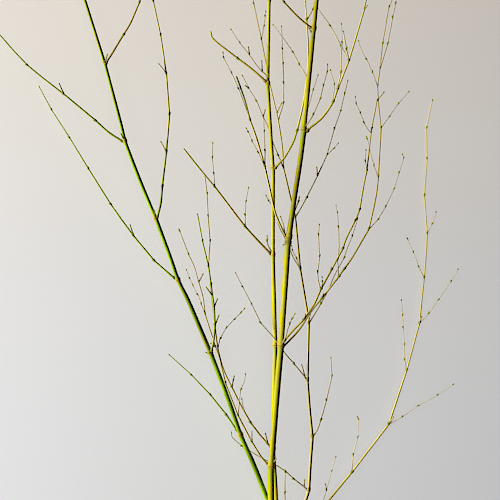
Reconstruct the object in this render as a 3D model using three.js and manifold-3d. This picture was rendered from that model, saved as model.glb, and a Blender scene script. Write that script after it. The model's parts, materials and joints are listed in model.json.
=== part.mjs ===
// A leafless bamboo sprig, cut and laid flat: one hollow culm that forks into canes, branches and twigs.
// Millimetres, +Z up from the surface that it lies on, origin under the middle of its box.
import * as THREE from 'three';
import { mergeVertices } from 'three/addons/utils/BufferGeometryUtils.js';
import Module from 'manifold-3d';

const wasm = await Module();
wasm.setup();

// The plan is what an eye straight above sees. Its y runs down, from the tips to the butt.
const PLAN_UNIT = 1.4;
const PLAN_LEVEL = 60;
const EYE_HEIGHT = 3000;
const EYE = { x: 250, y: 250 };
const ORIGIN = { x: -69.83, y: -6.62 };

const GAP = 0.36;
const NODE_SWELL = 1.22;
const NODE_RIDGE = 0.22;
const NODE_LENGTH = 1.1;
const NODE_SHORTEST = 1.2;
const SPUR = { foot: 1.2, tip: 0.6 };
const FINE = 2.2;
const BORE = { diameter: 8.2, depth: 34 };

const COLOURS = {
  yellow: 0xb3a43c,
  green: 0x7d9f2e,
  golden: 0xb08e3e,
  brown: 0x8f7440,
  tan: 0xa08a58,
};

// A route's points: plan x and y, then height and diameter where they are set.
const at = (x, y, z, wide) => ({ x, y, z, wide });
const node = (x, y, z, wide) => ({ x, y, z, wide, node: true });
const spur = (...route) => ({ wide: [SPUR.foot, SPUR.tip], route });
const twig = (foot, tip, ...route) => ({ wide: [foot, tip], route });

const canes = [
  {
    name: 'main_culm',
    colour: 'yellow',
    wide: [12.6, 4.2],
    route: [
      at(272.5, 655, 6.17), node(271.5, 590, 26, 12), at(271.3, 580, 28, 9.6), at(271, 500),
      node(270.8, 467.5, 48, 9.1), at(276.2, 400), node(280.9, 347, 60), node(287.9, 243.6, 66),
      node(288.5, 238.2, 66, 8.3), at(294, 200, 66.3, 7.3), at(300.4, 160, 66.7, 7.2),
      node(304, 129.5, 67, 7.6), node(313.6, 29.5, 62, 6.4), node(323.5, -65.5, 56), at(331, -150, 50),
    ],
    twigs: [
      spur(at(271, 466), at(276.2, 459, 53)),
      twig(2, 1.2, at(281.2, 346), at(286, 336, 75), at(287.3, 330), node(289.4, 324.4, 77),
        node(291.6, 319), at(294.8, 313.8, 80)),
      twig(1.3, 0.8, at(288.1, 243), at(281.6, 245.6, 69)),
      twig(1.8, 1, at(304.4, 128), at(308, 123.3, 73), node(313, 115), node(320, 99.2),
        node(323.3, 85.8), node(327, 72.5), at(327.5, 64.2, 82)),
      twig(1.4, 0.8, at(304.9, 120), at(308.5, 106, 62), node(313, 90.4), at(318, 75, 60)),
      spur(at(313, 35), at(307.6, 26, 66)),
    ],
  },
  {
    name: 'back_cane',
    parent: 'main_culm',
    colour: 'yellow',
    wide: [7.2, 3],
    route: [
      at(271.5, 590), at(276.4, 570, 23.5, 7), node(277.5, 547, 24), at(276.2, 500, 27),
      node(272.8, 450, 31, 6.6), node(275.2, 346.5, 40, 6.3), node(272.8, 256, 44),
      node(273.2, 167, 46), at(269.8, 120), node(267.7, 83.5, 46, 5), node(269.1, 1, 42, 4.4),
      node(271, -78, 37), at(273, -150, 32),
    ],
    twigs: [spur(at(272.8, 254), at(268, 246, 49), node(266.7, 240.8), at(267, 235.8, 52))],
  },
  {
    name: 'green_cane',
    parent: 'main_culm',
    apart: ['back_cane'],
    colour: 'green',
    wide: [7.6, 2.8],
    route: [
      at(271.5, 590), at(277.5, 574, 16), at(281, 552, 10.5), node(278.5, 527, 10.5, 7.4),
      at(267.4, 500, 13), at(254.3, 465.5), node(240.6, 436, 20, 6.7), at(228.5, 400),
      node(210.8, 353.6, 24, 6.6), at(188.2, 300.2), node(178.2, 281.1, 27, 5.9), at(170.8, 259),
      node(156.1, 219.1, 28, 5.6), at(139.7, 180.2), node(124.9, 141.7, 27, 5.1), at(120.6, 123),
      node(104.8, 63.1, 24, 4.3), node(81, -12, 20, 4), at(60, -80), at(46, -130, 12),
    ],
    twigs: [
      spur(at(156.1, 219.1), at(154.2, 210.5, 33)),
      spur(at(124.9, 141.7), at(121.2, 134, 32)),
      spur(at(104.8, 63.1), at(107.3, 54.5, 32)),
    ],
  },
  {
    name: 'right_cane',
    parent: 'back_cane',
    apart: ['green_cane'],
    colour: 'golden',
    wide: [4.8, 1.1],
    route: [
      at(277.5, 547), at(292, 527, 24.5, 4.6), at(302, 511, 25), node(308.8, 490.8, 26),
      at(310.4, 462), node(312.5, 436.7, 33, 4.2), at(309.5, 408.5), node(307.5, 380.4, 42, 3.4),
      node(308.8, 323.3, 48), at(307.2, 311), node(300.2, 268.8, 52, 2.8), node(295.3, 216.7, 50, 2.5),
      at(291.7, 202), node(283.5, 167.9, 45, 1.9), at(282.5, 146.7), at(278.3, 120, 41),
      node(269.6, 83, 37, 1.5), node(261.3, 39.2, 35), node(253.8, 4.2), at(249, -28), at(245, -55, 30),
    ],
    twigs: [
      twig(1.9, 1, at(292, 527), at(285.6, 512, 28), at(285, 500), node(284.8, 493.3),
        at(285.1, 472, 36)),
      twig(2, 1.1, at(312.5, 436.7), at(317, 430.8, 35), node(320.6, 420.3), node(326.2, 400.7),
        node(331.8, 376.4), at(330.8, 357.5, 44)),
      spur(at(308.4, 321), at(310.8, 311.5, 54)),
      twig(1.7, 1, at(300.2, 268.8), at(293.3, 258.3, 50), at(285.8, 240, 46), at(279.6, 228.3, 41),
        at(272.5, 205, 37), node(268.8, 201.3), at(266, 195.5, 35)),
      twig(1.3, 0.9, at(300.2, 268.8), node(296.7, 258.8, 56), node(292.5, 250.8, 55),
        at(291.5, 245.8, 55)),
      spur(at(294, 212), node(298.3, 202, 51), at(299.3, 197, 52)),
      twig(1.6, 0.9, at(278.3, 120), node(283.3, 103.5, 43), node(283.6, 83.3), node(283, 64.2),
        node(282.3, 49.2), at(281.7, 30.8), at(281.5, 26.3, 44)),
      spur(at(276.5, 113), at(281.3, 103.3, 46)),
      twig(1.2, 0.8, at(261.3, 39.2), node(263.8, 26.7, 35), node(265, 16.7), at(265.7, 11.3, 36)),
    ],
  },
  {
    name: 'low_branch',
    parent: 'main_culm',
    apart: ['back_cane', 'green_cane'],
    colour: 'golden',
    wide: [3.6, 0.8],
    route: [
      at(271.5, 590), at(284.5, 570, 22, 3.4), at(299, 541, 17), node(313, 519.5, 13, 3.2),
      at(330.1, 498.5), node(351.7, 472.2, 8), at(369.8, 448.6), node(388.8, 424.2, 5.5, 2.7),
      node(406.7, 370, 4.5, 2.2), node(419.4, 323.3, 4), node(424.1, 277.5, 3.6, 1.7), at(426.1, 255),
      node(427.2, 233.3, 3.2), node(424.3, 195.4, 2.6, 1.3), node(427, 159, 2), node(426.4, 128),
      at(432.5, 100, 0.7),
    ],
    twigs: [
      twig(1.2, 0.8, at(313, 519.5), at(323.3, 500, 15), node(326.3, 490.8), node(331.3, 471.3),
        at(335.8, 456.7, 19)),
      spur(at(326.3, 490.8, 15.6), at(325.4, 484.2, 18)),
      twig(1.4, 0.9, at(351.7, 472.2), node(353, 455, 11), node(357.5, 437.5), node(358.8, 419.6),
        at(357.5, 416.7, 16)),
      twig(1.2, 0.8, at(388.8, 424.2), node(401.7, 417, 7), node(417.5, 405.8), node(437, 395.4),
        at(453.2, 384.3, 12)),
      spur(at(388.8, 424.2), at(393.3, 417, 9)),
      twig(1.2, 0.8, at(406.7, 370), node(404.6, 360, 7), node(404.2, 345), node(403.1, 328),
        node(402.5, 315.4), at(401.4, 300, 13)),
      twig(1.2, 0.8, at(419.4, 323.3), node(428.3, 313.8, 6), node(438, 300), node(450.8, 281.7),
        at(458, 269.2, 12)),
      spur(at(419.4, 323.3), at(421.5, 316.5, 8)),
      twig(1.1, 0.8, at(424.1, 277.5), node(418.8, 267, 6), node(413.3, 252.5), node(407.9, 239.6),
        at(407, 238, 10)),
      twig(1, 0.8, at(427.2, 233.3), node(432, 224.2, 5), at(436, 212, 7)),
    ],
  },
];

const mainBranches = [
  {
    name: 'main_left_branch_1',
    parent: 'main_culm',
    colour: 'brown',
    wide: [2.6, 1.1],
    route: [
      at(270.8, 467.5), at(261.3, 457.5, 47), node(251.7, 441.7, 44), node(237.9, 415.4, 38),
      node(225.4, 383.3, 33), at(219.2, 356.7, 31), node(215.5, 347, 30), node(205, 314, 28),
      at(203.3, 297.5), node(198.6, 282), at(194.2, 265.8), node(188.6, 254.7), node(180, 231.7),
      at(179, 229.2, 27),
    ],
    twigs: [
      spur(at(251.7, 441.7), at(251.7, 431.7, 47)),
      spur(at(215.5, 347), at(210.8, 343.5, 29)),
      spur(at(198.6, 282), at(202.9, 274.2, 30)),
      twig(1.1, 0.8, at(205, 314), node(201.2, 304.2, 32), node(197.9, 295), node(192.9, 285.8),
        node(189.8, 278.8), at(186.2, 269.6, 35)),
      twig(1.6, 1, at(237.9, 415.4), at(239.6, 397.5, 41), node(240.4, 390, 42), at(244.6, 380.8),
        at(245.4, 374, 44)),
    ],
  },
  {
    name: 'main_right_branch_2a',
    parent: 'main_culm',
    colour: 'golden',
    wide: [3.1, 1.2],
    route: [
      at(280.9, 347), at(284.8, 339.8, 62.5), at(294, 329.2, 66), node(303.6, 319.8, 70),
      at(315, 303.3), node(320.8, 289.2, 74), node(331.3, 270), node(342.5, 249.2, 80), at(345.8, 239),
      node(355, 221), node(359.6, 210, 85), at(364.2, 182.5), node(366.9, 171), at(369.4, 147),
      node(371.6, 129, 94), node(377, 100.8), at(383.8, 92.3, 99),
    ],
    twigs: [
      spur(at(303.6, 319.8), at(305.3, 314.4, 74)),
      twig(1.6, 0.9, at(320.8, 289.2), at(318.3, 282, 77), node(317.5, 272.5), node(319.6, 256.7),
        node(318.4, 235.3), at(319.2, 224.6, 84)),
      twig(1.2, 0.8, at(320.8, 289.2), node(322.5, 282, 79), at(322, 277, 81)),
      spur(at(355, 221), at(357.8, 217.6, 84)),
      twig(1.3, 0.8, at(366.9, 171), node(365.2, 161.7, 92), at(365.8, 150, 95)),
      twig(1.3, 0.8, at(371.3, 133), at(368, 130, 95), node(364.2, 123.3), node(360.4, 113.3),
        node(356.3, 104.2), at(355.3, 96.7, 100)),
    ],
  },
  {
    name: 'main_right_branch_2b',
    parent: 'main_culm',
    apart: ['main_right_branch_2a'],
    colour: 'brown',
    wide: [2.9, 0.9],
    route: [
      at(280.9, 347), at(285.4, 344.6, 57), at(299, 330.4, 57), at(311.7, 310), node(321.3, 298.8, 59),
      node(338.8, 276.7, 62), node(343.8, 269.2), at(350.8, 260), node(368.8, 229.2, 67),
      at(373.3, 210), at(377, 190.8), node(378.2, 176.7, 72), node(381, 127.9, 77), at(378.3, 103.3),
      node(377.5, 86, 82), node(380, 68.3, 84), node(382.5, 43.8), node(388.8, 7.5, 90), at(392, 0),
      at(399, -35, 94),
    ],
    twigs: [
      spur(at(321.3, 298.8), at(323.3, 293.6, 62)),
      twig(1.7, 0.9, at(338.8, 276.7), node(337.3, 260, 64), at(339, 250), node(338.5, 227.5),
        node(337.3, 213), at(335.8, 205.4, 70)),
      twig(1.4, 0.8, at(368.8, 229.2), node(377.5, 220, 70), node(385.4, 207), node(393.8, 189.2),
        node(398.8, 173.3), node(403.8, 158.3), at(402.3, 154.2, 80)),
      twig(1.4, 0.8, at(378.2, 176.7), node(373.8, 165.8, 73), at(370, 151.7), node(367.5, 139.6),
        at(366.5, 136.7, 76)),
      twig(1.2, 0.8, at(381, 127.9), node(388.8, 117, 80), node(397.9, 104.2), at(408.8, 91.7, 86)),
      twig(1.3, 0.8, at(377.5, 86), node(372.5, 72.5, 84), node(366.7, 59.6), at(360.8, 49),
        at(358.3, 40.8, 88)),
      twig(1.7, 0.9, at(380, 68.3), at(383.2, 58, 87), node(387.5, 43.8), node(392.5, 17.9, 94),
        node(395.4, 3.8), at(398, -42, 101)),
    ],
  },
  {
    name: 'main_left_branch_3',
    parent: 'main_culm',
    colour: 'yellow',
    wide: [2.8, 2.2],
    route: [
      at(288.2, 240.5), at(281.7, 228.5, 69), at(275, 213.3), at(272, 199), node(264.8, 166.7, 74),
      at(256.7, 138.3), node(250, 120, 78), at(245, 100), at(236.7, 77, 82),
    ],
    twigs: [
      spur(at(281.7, 228.5), at(280.4, 218.5, 73)),
      twig(1.4, 0.9, at(264.8, 166.7), node(265.1, 151.3, 76), node(264.1, 131.7), at(263.6, 118, 80)),
      twig(1.5, 0.9, at(264.8, 166.7), at(261.2, 159.6, 77), node(258.6, 152.9), node(252, 141.4),
        node(248.6, 132.5), at(246.1, 128, 82)),
      twig(1.5, 0.9, at(250, 120), node(238.8, 89.2, 82), node(231.7, 73.3), node(223.8, 58.3),
        at(222.9, 52.5, 86)),
    ],
  },
  {
    name: 'main_right_branch_4',
    parent: 'main_culm',
    colour: 'golden',
    wide: [3.4, 1.4],
    route: [
      at(304, 129.5), at(315, 124.2, 68), at(321.7, 118.3), at(327.5, 110.8, 69), node(333, 102),
      node(337.5, 89, 70), node(348.8, 60.8, 73, 2.3), at(356.7, 35), node(364.6, 8.3, 76),
      node(371, -32), at(375, -70), at(377, -100, 82),
    ],
    twigs: [
      twig(1.9, 1, at(348.8, 60.8), node(341.3, 46.7, 68), node(330.5, 26, 60), at(318.3, 9.2, 52),
        at(314.6, 3, 50)),
      spur(at(348.8, 60.8), node(346.3, 49.2, 77), at(343, 31.3, 80)),
      twig(1.9, 1, at(337.5, 89), node(340.8, 72.5, 75), at(340.8, 58.3), node(342, 43),
        at(341.3, 23.8, 84)),
      twig(1.5, 0.9, at(333, 102), node(334.2, 84.5, 73), at(330.4, 70, 76)),
      spur(at(364.6, 8.3), at(367.4, 5.4, 79)),
    ],
  },
  {
    name: 'main_left_branch_5',
    parent: 'main_culm',
    colour: 'yellow',
    wide: [3, 1.2],
    route: [at(313.5, 29.5), at(299.3, 18.6, 64), node(284.4, 2.6, 65), at(269.6, -21.6),
    at(261.8, -51.8, 68)],
  },
];

const backBranches = [
  {
    name: 'back_left_branch_0',
    parent: 'back_cane',
    colour: 'brown',
    wide: [2.6, 1.1],
    route: [
      at(272.8, 450), node(267.6, 443.6, 33), at(260, 435), node(250.8, 423, 31), at(240, 404),
      node(231.7, 387, 27.5), at(223.3, 370, 26), at(217.7, 349, 25), at(215.1, 327.5, 26),
      node(208.3, 266, 30), node(210, 241.4), node(208.1, 216.5), node(207.1, 193.8),
      at(205, 176.7, 34),
    ],
    twigs: [
      spur(at(267.6, 443.6), at(265.4, 433.3, 36)),
      twig(1.2, 0.8, at(245, 413), at(243, 406.5, 32), at(241.7, 398.8, 33)),
      spur(at(231.7, 387), at(234.2, 376.2, 30)),
      twig(1.3, 0.8, at(217.7, 349), node(220, 338.8, 26), node(225.8, 328.3), node(233.8, 319.6),
        node(240.4, 313.3), at(244.6, 308.5, 32)),
    ],
  },
  {
    name: 'back_left_branch_2',
    parent: 'back_cane',
    colour: 'brown',
    wide: [3.4, 2],
    route: [
      at(272.8, 256), at(257, 240, 48), node(245.2, 226.9), node(214.6, 186.7, 54), at(200, 169.2),
      at(184.2, 149.2, 60),
    ],
    twigs: [
      twig(1.4, 0.9, at(245.2, 226.9), node(245, 215.5, 52), node(245.7, 202), at(248.4, 187.5, 57)),
      twig(1.4, 0.9, at(214.6, 186.7), node(213.8, 174.2, 57), node(212.1, 158), at(212.7, 143, 62)),
    ],
  },
  {
    name: 'back_right_branch_3',
    parent: 'back_cane',
    colour: 'brown',
    wide: [3.3, 1.6],
    route: [
      at(273.2, 167), at(279.2, 163.3, 50), at(284.2, 158.3, 51.5), at(293.3, 142.5, 53),
      node(296.9, 131), at(303.5, 103, 53), node(307.2, 77, 53), at(308.6, 50, 52),
      node(306.5, 20, 51), at(303, -30), at(300, -62, 49),
    ],
    twigs: [
      twig(1.6, 0.9, at(307.2, 77), node(299.2, 64.6, 54), node(293.3, 52.5), at(282.9, 37.5),
        at(272.9, 24.8, 56)),
      spur(at(306.5, 20), node(312.5, 10, 50), at(314.4, 4, 50)),
    ],
  },
  {
    name: 'back_left_branch_4',
    parent: 'back_cane',
    colour: 'brown',
    wide: [3.3, 2.2],
    route: [
      at(267.7, 83.5), at(260, 76.2, 48), at(250, 67.5), node(238, 58.7, 50), at(217.5, 43),
      at(211.7, 37.5), at(210.8, 32, 56),
    ],
  },
  {
    name: 'back_left_twig_4',
    parent: 'back_cane',
    apart: ['back_left_branch_4'],
    colour: 'tan',
    wide: [1.7, 0.9],
    route: [
      at(267.7, 83.5), at(267, 75.5, 51), node(262, 71.5, 52), at(256.7, 65.8), node(249.2, 54.6),
      node(240, 43.3), at(230.8, 29.2, 59),
    ],
    twigs: [
      spur(at(262, 71.5), at(261.6, 61, 56)),
      spur(at(249.2, 54.6), at(248.3, 47.2, 58)),
    ],
  },
];

const greenBranches = [
  {
    name: 'green_left_branch_1',
    parent: 'green_cane',
    colour: 'green',
    wide: [2.9, 1.1],
    route: [at(240.6, 436), node(226.7, 415.4, 19), node(210.8, 395.4), node(191.7, 375.2),
    at(169.2, 354.8, 13)],
  },
  {
    name: 'green_right_branch_2',
    parent: 'green_cane',
    colour: 'green',
    wide: [3.2, 1.4],
    route: [
      at(210.8, 353.6), at(213.8, 340, 37), node(215, 325, 39), node(214, 306.7), node(211, 285),
      node(208.6, 267), node(202.5, 241.4), at(197.5, 214.2, 47),
    ],
    twigs: [
      spur(at(215, 325), at(218.8, 315.4, 41)),
      spur(at(214, 306.7), at(217.3, 299.2, 42)),
      spur(at(212.6, 296), at(206.2, 287.3, 43)),
    ],
  },
  {
    name: 'green_left_branch_3',
    parent: 'green_cane',
    colour: 'green',
    wide: [3, 1.2],
    route: [
      at(178.2, 281.1), at(169.7, 274.4, 25), node(154.3, 261, 22), node(133.5, 236), at(119.7, 217.2),
      node(111, 204.8), node(88.5, 169), node(69.7, 138.1), node(51.7, 110.2), at(38.9, 86.5, 3),
    ],
    twigs: [spur(at(133.5, 236), at(130, 224.6, 22))],
  },
  {
    name: 'green_right_branch_4',
    parent: 'green_cane',
    colour: 'golden',
    wide: [3.1, 1.2],
    route: [
      at(156.3, 220.6), at(158.8, 212, 30), at(161, 203), node(162.1, 187, 32), node(166.3, 152),
      node(169.4, 114.8), node(166.3, 73.8, 36), node(160.6, 35.4), node(153.4, 1.7), at(146.6, -32),
      at(141, -62, 40),
    ],
    twigs: [
      spur(at(166.3, 152), at(160.8, 141.8, 36)),
      spur(at(166.3, 73.8), at(158.8, 63.8, 39)),
    ],
  },
  {
    name: 'green_left_branch_5',
    parent: 'green_cane',
    colour: 'green',
    wide: [3, 1.2],
    route: [
      at(125.1, 143.2), at(120, 139.8, 26), at(108.3, 132.5, 24), node(95.8, 120.8, 22),
      node(63.8, 94.2), at(40, 75.8), node(27.3, 65.2, 13), at(15, 52.5), at(0, 35), node(-22, 12),
      at(-55, -18, 0.7),
    ],
    twigs: [spur(at(63.8, 94.2), at(59.3, 83.8, 22))],
  },
  {
    name: 'green_right_branch_6',
    parent: 'green_cane',
    colour: 'brown',
    wide: [3, 1.2],
    route: [
      at(105.1, 66.6), at(107.6, 60.1, 24.5), at(110.5, 56), node(122.9, 35.4, 26), at(130, 24.5),
      node(139.2, 2.9), at(152, -28), at(163, -58, 33),
    ],
  },
];

const rightTwigs = [
  {
    name: 'right_twig_low',
    parent: 'right_cane',
    colour: 'tan',
    wide: [2.4, 1.2],
    route: [
      at(308.8, 490.8), node(294, 479.3, 24), node(286, 471.9, 23), at(275.6, 464.8, 21),
      at(261.8, 458.6, 16.5), at(249.7, 451.1, 12.5), node(242.2, 446.4, 11.5), at(231.7, 437.5),
      at(231.2, 432.3, 9),
    ],
    twigs: [spur(at(303.8, 486.7), at(304.6, 480, 28))],
  },
  {
    name: 'right_twig_crossing',
    parent: 'right_cane',
    colour: 'tan',
    wide: [2.2, 1],
    route: [
      at(307.5, 380.4), node(294.2, 364.2, 45), at(283.3, 351.7, 49), at(276.7, 341, 50),
      node(260.8, 323.3, 51), node(251.7, 304.6), node(242.9, 287.3), at(235.4, 272.9, 56),
    ],
    twigs: [spur(at(305, 377.4), at(301.7, 364.8, 46))],
  },
  {
    name: 'right_twig_middle',
    parent: 'right_cane',
    colour: 'tan',
    wide: [2, 1],
    route: [
      at(308.8, 323.3), at(315, 313.3, 48), node(320.4, 304.2, 49), at(327.5, 291.7), at(335, 273.3),
      node(343.8, 258.3), at(346.5, 250), node(352, 236.7), at(357.5, 218.8, 56),
    ],
  },
  {
    name: 'right_twig_upper',
    parent: 'right_cane',
    colour: 'tan',
    wide: [2, 1],
    route: [
      at(295.3, 216.7), at(298.6, 211.9, 51), node(306.1, 198.2, 52), node(317.3, 176),
      node(326.8, 155.2), node(334.1, 129.4), node(340.3, 111.4), node(344.5, 94.3),
      at(347.8, 80.5, 60),
    ],
    twigs: [
      spur(at(317.3, 176), at(316.7, 167.5, 57)),
      twig(1.2, 0.8, at(326.8, 155.2), node(333.3, 148.8, 58), at(338.2, 143.3, 60)),
    ],
  },
  {
    name: 'right_twig_top',
    parent: 'right_cane',
    colour: 'tan',
    wide: [1.9, 1],
    route: [
      at(283.5, 167.9), node(278.3, 155.8, 42), at(273.3, 144.2, 39), at(268.8, 128.3, 37),
      node(262.9, 116.7), node(256.7, 101.3), node(248.8, 88.3), at(242.3, 75.4, 35),
    ],
    twigs: [
      spur(at(262.9, 116.7), at(265, 110.2, 40)),
      spur(at(248.8, 88.3), at(245, 85.4, 39)),
    ],
  },
];

const shoots = [...canes, ...mainBranches, ...backBranches, ...greenBranches, ...rightTwigs];
const grown = new Map();

// Plan point and height to millimetres, with the eye's perspective taken out.
function place(point) {
  const scale = (PLAN_UNIT * (EYE_HEIGHT - point.z)) / (EYE_HEIGHT - PLAN_LEVEL);
  return new THREE.Vector3(
    (point.x - EYE.x) * scale - ORIGIN.x,
    (EYE.y - point.y) * scale - ORIGIN.y,
    point.z,
  );
}

// Fills in what a route leaves open, straight from one stated value to the next.
function fill(route, runs, key) {
  let from = 0;
  for (let to = 1; to < route.length; to += 1) {
    if (route[to][key] !== undefined) {
      for (let i = from + 1; i < to; i += 1) {
        const share = (runs[i] - runs[from]) / (runs[to] - runs[from]);
        route[i][key] = THREE.MathUtils.lerp(route[from][key], route[to][key], share);
      }
      from = to;
    }
  }
}

// Height of a filled route at the place nearest to a plan point.
function heightOn(route, x, y) {
  let nearest = Infinity;
  let height = 0;
  for (let i = 1; i < route.length; i += 1) {
    const [a, b] = [route[i - 1], route[i]];
    const [dx, dy] = [b.x - a.x, b.y - a.y];
    const share = THREE.MathUtils.clamp(((x - a.x) * dx + (y - a.y) * dy) / (dx * dx + dy * dy), 0, 1);
    const distance = Math.hypot(a.x + share * dx - x, a.y + share * dy - y);
    if (distance < nearest) {
      nearest = distance;
      height = THREE.MathUtils.lerp(a.z, b.z, share);
    }
  }
  return height;
}

function grow(shoot, parentRoute) {
  const route = shoot.route.map((point) => ({ ...point }));
  const runs = [0];
  for (let i = 1; i < route.length; i += 1) {
    runs.push(runs[i - 1] + Math.hypot(route[i].x - route[i - 1].x, route[i].y - route[i - 1].y));
  }
  const [first, last] = [route[0], route.at(-1)];
  first.z ??= heightOn(parentRoute, first.x, first.y);
  [first.wide, last.wide] = shoot.wide;
  fill(route, runs, 'z');
  fill(route, runs, 'wide');
  return route;
}

// One ring of a shoot at each point, and three round each node: rim, swelling, rim. On a fine twig the
// internode tapers from the swelling itself.
function ringsOf(route) {
  const points = route.map(place);
  const rings = [];
  points.forEach((point, i) => {
    const radius = route[i].wide / 2;
    const before = point.clone().sub(points[Math.max(i - 1, 0)]);
    const after = points[Math.min(i + 1, points.length - 1)].clone().sub(point);
    const along = before.clone().normalize().add(after.clone().normalize()).normalize();
    if (!route[i].node) {
      rings.push({ point, along, radius });
      return;
    }
    const half = Math.min(NODE_SHORTEST + NODE_LENGTH * radius, before.length() / 3, after.length() / 3);
    const swelling = radius * NODE_SWELL + NODE_RIDGE;
    before.normalize();
    after.normalize();
    rings.push({ point: point.clone().addScaledVector(before, -half), along: before, radius });
    rings.push({ point, along, radius: swelling });
    if (route[0].wide > FINE) {
      rings.push({ point: point.clone().addScaledVector(after, half), along: after, radius });
    }
  });
  return rings;
}

function sidesFor(width) {
  if (width > 5.5) return 8;
  if (width > 4.5) return 6;
  return width > FINE ? 5 : 4;
}

// A cylinder with one row of vertices for each ring, bent onto the rings.
function tube(route, extra = 0) {
  const rings = ringsOf(route);
  const sides = sidesFor(route[0].wide);
  const geometry = new THREE.CylinderGeometry(1, 1, 1, sides, rings.length - 1);
  const position = geometry.getAttribute('position');
  const up = new THREE.Vector3(0, 0, 1);
  for (let i = 0; i < position.count; i += 1) {
    const ring = rings[Math.round((0.5 - position.getY(i)) * (rings.length - 1))];
    const side = up.clone().cross(ring.along).normalize();
    const top = ring.along.clone().cross(side);
    const spot = ring.point.clone();
    spot.addScaledVector(side, position.getX(i) * (ring.radius + extra));
    spot.addScaledVector(top, position.getZ(i) * (ring.radius + extra));
    position.setXYZ(i, spot.x, spot.y, spot.z);
  }
  return solidFrom(geometry);
}

function solidFrom(geometry) {
  geometry.deleteAttribute('normal');
  geometry.deleteAttribute('uv');
  const merged = mergeVertices(geometry, 1e-4);
  const vertProperties = new Float32Array(merged.getAttribute('position').array);
  const triVerts = new Uint32Array(merged.getIndex().array);
  return new wasm.Manifold(new wasm.Mesh({ numProp: 3, vertProperties, triVerts }));
}

function geometryFrom(solid) {
  const mesh = solid.getMesh();
  const geometry = new THREE.BufferGeometry();
  geometry.setAttribute('position', new THREE.BufferAttribute(mesh.vertProperties, 3));
  geometry.setIndex(new THREE.BufferAttribute(mesh.triVerts, 1));
  geometry.computeVertexNormals();
  return geometry;
}

function largest(solid) {
  const bodies = solid.decompose();
  return bodies.reduce((best, body) => (body.volume() > best.volume() ? body : best));
}

// The culm is hollow, which shows at its cut end.
function bore(route) {
  const [start, next] = route.slice(0, 2).map(place);
  const along = next.clone().sub(start).normalize();
  const geometry = new THREE.CylinderGeometry(BORE.diameter / 2, BORE.diameter / 2, 2 * BORE.depth, 8);
  geometry.applyQuaternion(new THREE.Quaternion().setFromUnitVectors(new THREE.Vector3(0, 1, 0), along));
  geometry.translate(start.x, start.y, start.z);
  return solidFrom(geometry);
}

const sprig = new THREE.Group();
for (const shoot of shoots) {
  const parentRoute = shoot.parent ? grown.get(shoot.parent) : null;
  const route = grow(shoot, parentRoute);
  grown.set(shoot.name, route);
  let solid = tube(route);
  for (const side of shoot.twigs ?? []) {
    solid = solid.add(tube(grow(side, route)));
  }
  if (shoot.parent) {
    for (const other of [shoot.parent, ...(shoot.apart ?? [])]) {
      solid = solid.subtract(tube(grown.get(other), GAP));
    }
    solid = largest(solid);
  } else {
    solid = solid.subtract(bore(route));
  }
  const material = new THREE.MeshStandardMaterial({ color: COLOURS[shoot.colour], roughness: 0.5, metalness: 0 });
  const mesh = new THREE.Mesh(geometryFrom(solid), material);
  mesh.name = shoot.name;
  sprig.add(mesh);
}

export default sprig;
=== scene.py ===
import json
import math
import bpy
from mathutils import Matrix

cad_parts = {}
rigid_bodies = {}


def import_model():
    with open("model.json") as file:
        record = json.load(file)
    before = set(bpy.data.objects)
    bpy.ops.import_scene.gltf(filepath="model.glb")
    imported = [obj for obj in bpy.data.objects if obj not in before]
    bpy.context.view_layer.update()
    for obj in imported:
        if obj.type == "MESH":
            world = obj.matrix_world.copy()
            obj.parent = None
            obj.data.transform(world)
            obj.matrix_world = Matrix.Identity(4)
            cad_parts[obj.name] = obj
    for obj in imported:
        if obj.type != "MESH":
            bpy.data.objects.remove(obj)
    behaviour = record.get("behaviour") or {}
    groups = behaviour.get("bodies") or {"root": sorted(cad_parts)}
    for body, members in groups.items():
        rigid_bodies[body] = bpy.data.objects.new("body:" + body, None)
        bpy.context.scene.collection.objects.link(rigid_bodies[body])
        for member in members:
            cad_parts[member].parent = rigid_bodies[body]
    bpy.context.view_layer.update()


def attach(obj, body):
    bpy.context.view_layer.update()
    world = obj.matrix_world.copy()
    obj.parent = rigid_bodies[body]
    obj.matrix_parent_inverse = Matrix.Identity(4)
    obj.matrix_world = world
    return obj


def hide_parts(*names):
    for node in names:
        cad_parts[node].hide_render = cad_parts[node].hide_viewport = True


bl_info = {
    "name": "Bamboo Sprig",
    "version": (1, 0, 0),
    "blender": (4, 5, 0),
    "location": "View3D > Sidebar > Sprig",
    "description": "Grows a leafless bamboo sprig round its CAD frame, shoot by shoot",
    "category": "Object",
}

import bmesh
import bpy
from bpy.props import FloatProperty, FloatVectorProperty, IntProperty, PointerProperty
from mathutils import Vector

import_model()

MM = 0.001
UP = Vector((0, 0, 1))
# What the name of each finished piece ends with, after the name of the CAD node that it replaces.
GROWN = "_grown"

# The plan that the routes are given in, as in the CAD model: one unit is 1.4 mm at a height of 60 mm, seen
# by an eye 3 m above the surface. Its y runs down, from the tips to the butt.
PLAN_UNIT = 1.4
PLAN_LEVEL = 60
EYE_HEIGHT = 3000
EYE_X, EYE_Y = 250, 250
ORIGIN_X, ORIGIN_Y = -69.83, -6.62

# Diameters in mm. A shoot wider than STOUT at its foot gets a cane's sides, and one under SLIM is a twig.
STOUT = 2.4
SLIM = 2.45
SPUR = (2.1, 1.6)


def at(x, y, z=None, wide=None):
    """A point of a route: plan x and y, then height and diameter in mm where they are set."""
    return {"x": x, "y": y, "z": z, "wide": wide, "node": False}


def node(*values):
    """The same with a node there."""
    return {**at(*values), "node": True}


def twig(foot, tip, *route):
    """A twig fused to its branch: diameters at the foot and tip, then its route."""
    return {"wide": (foot, tip), "route": route}


def spur(*route):
    """A short twig of the usual kind."""
    return twig(*SPUR, *route)


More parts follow.
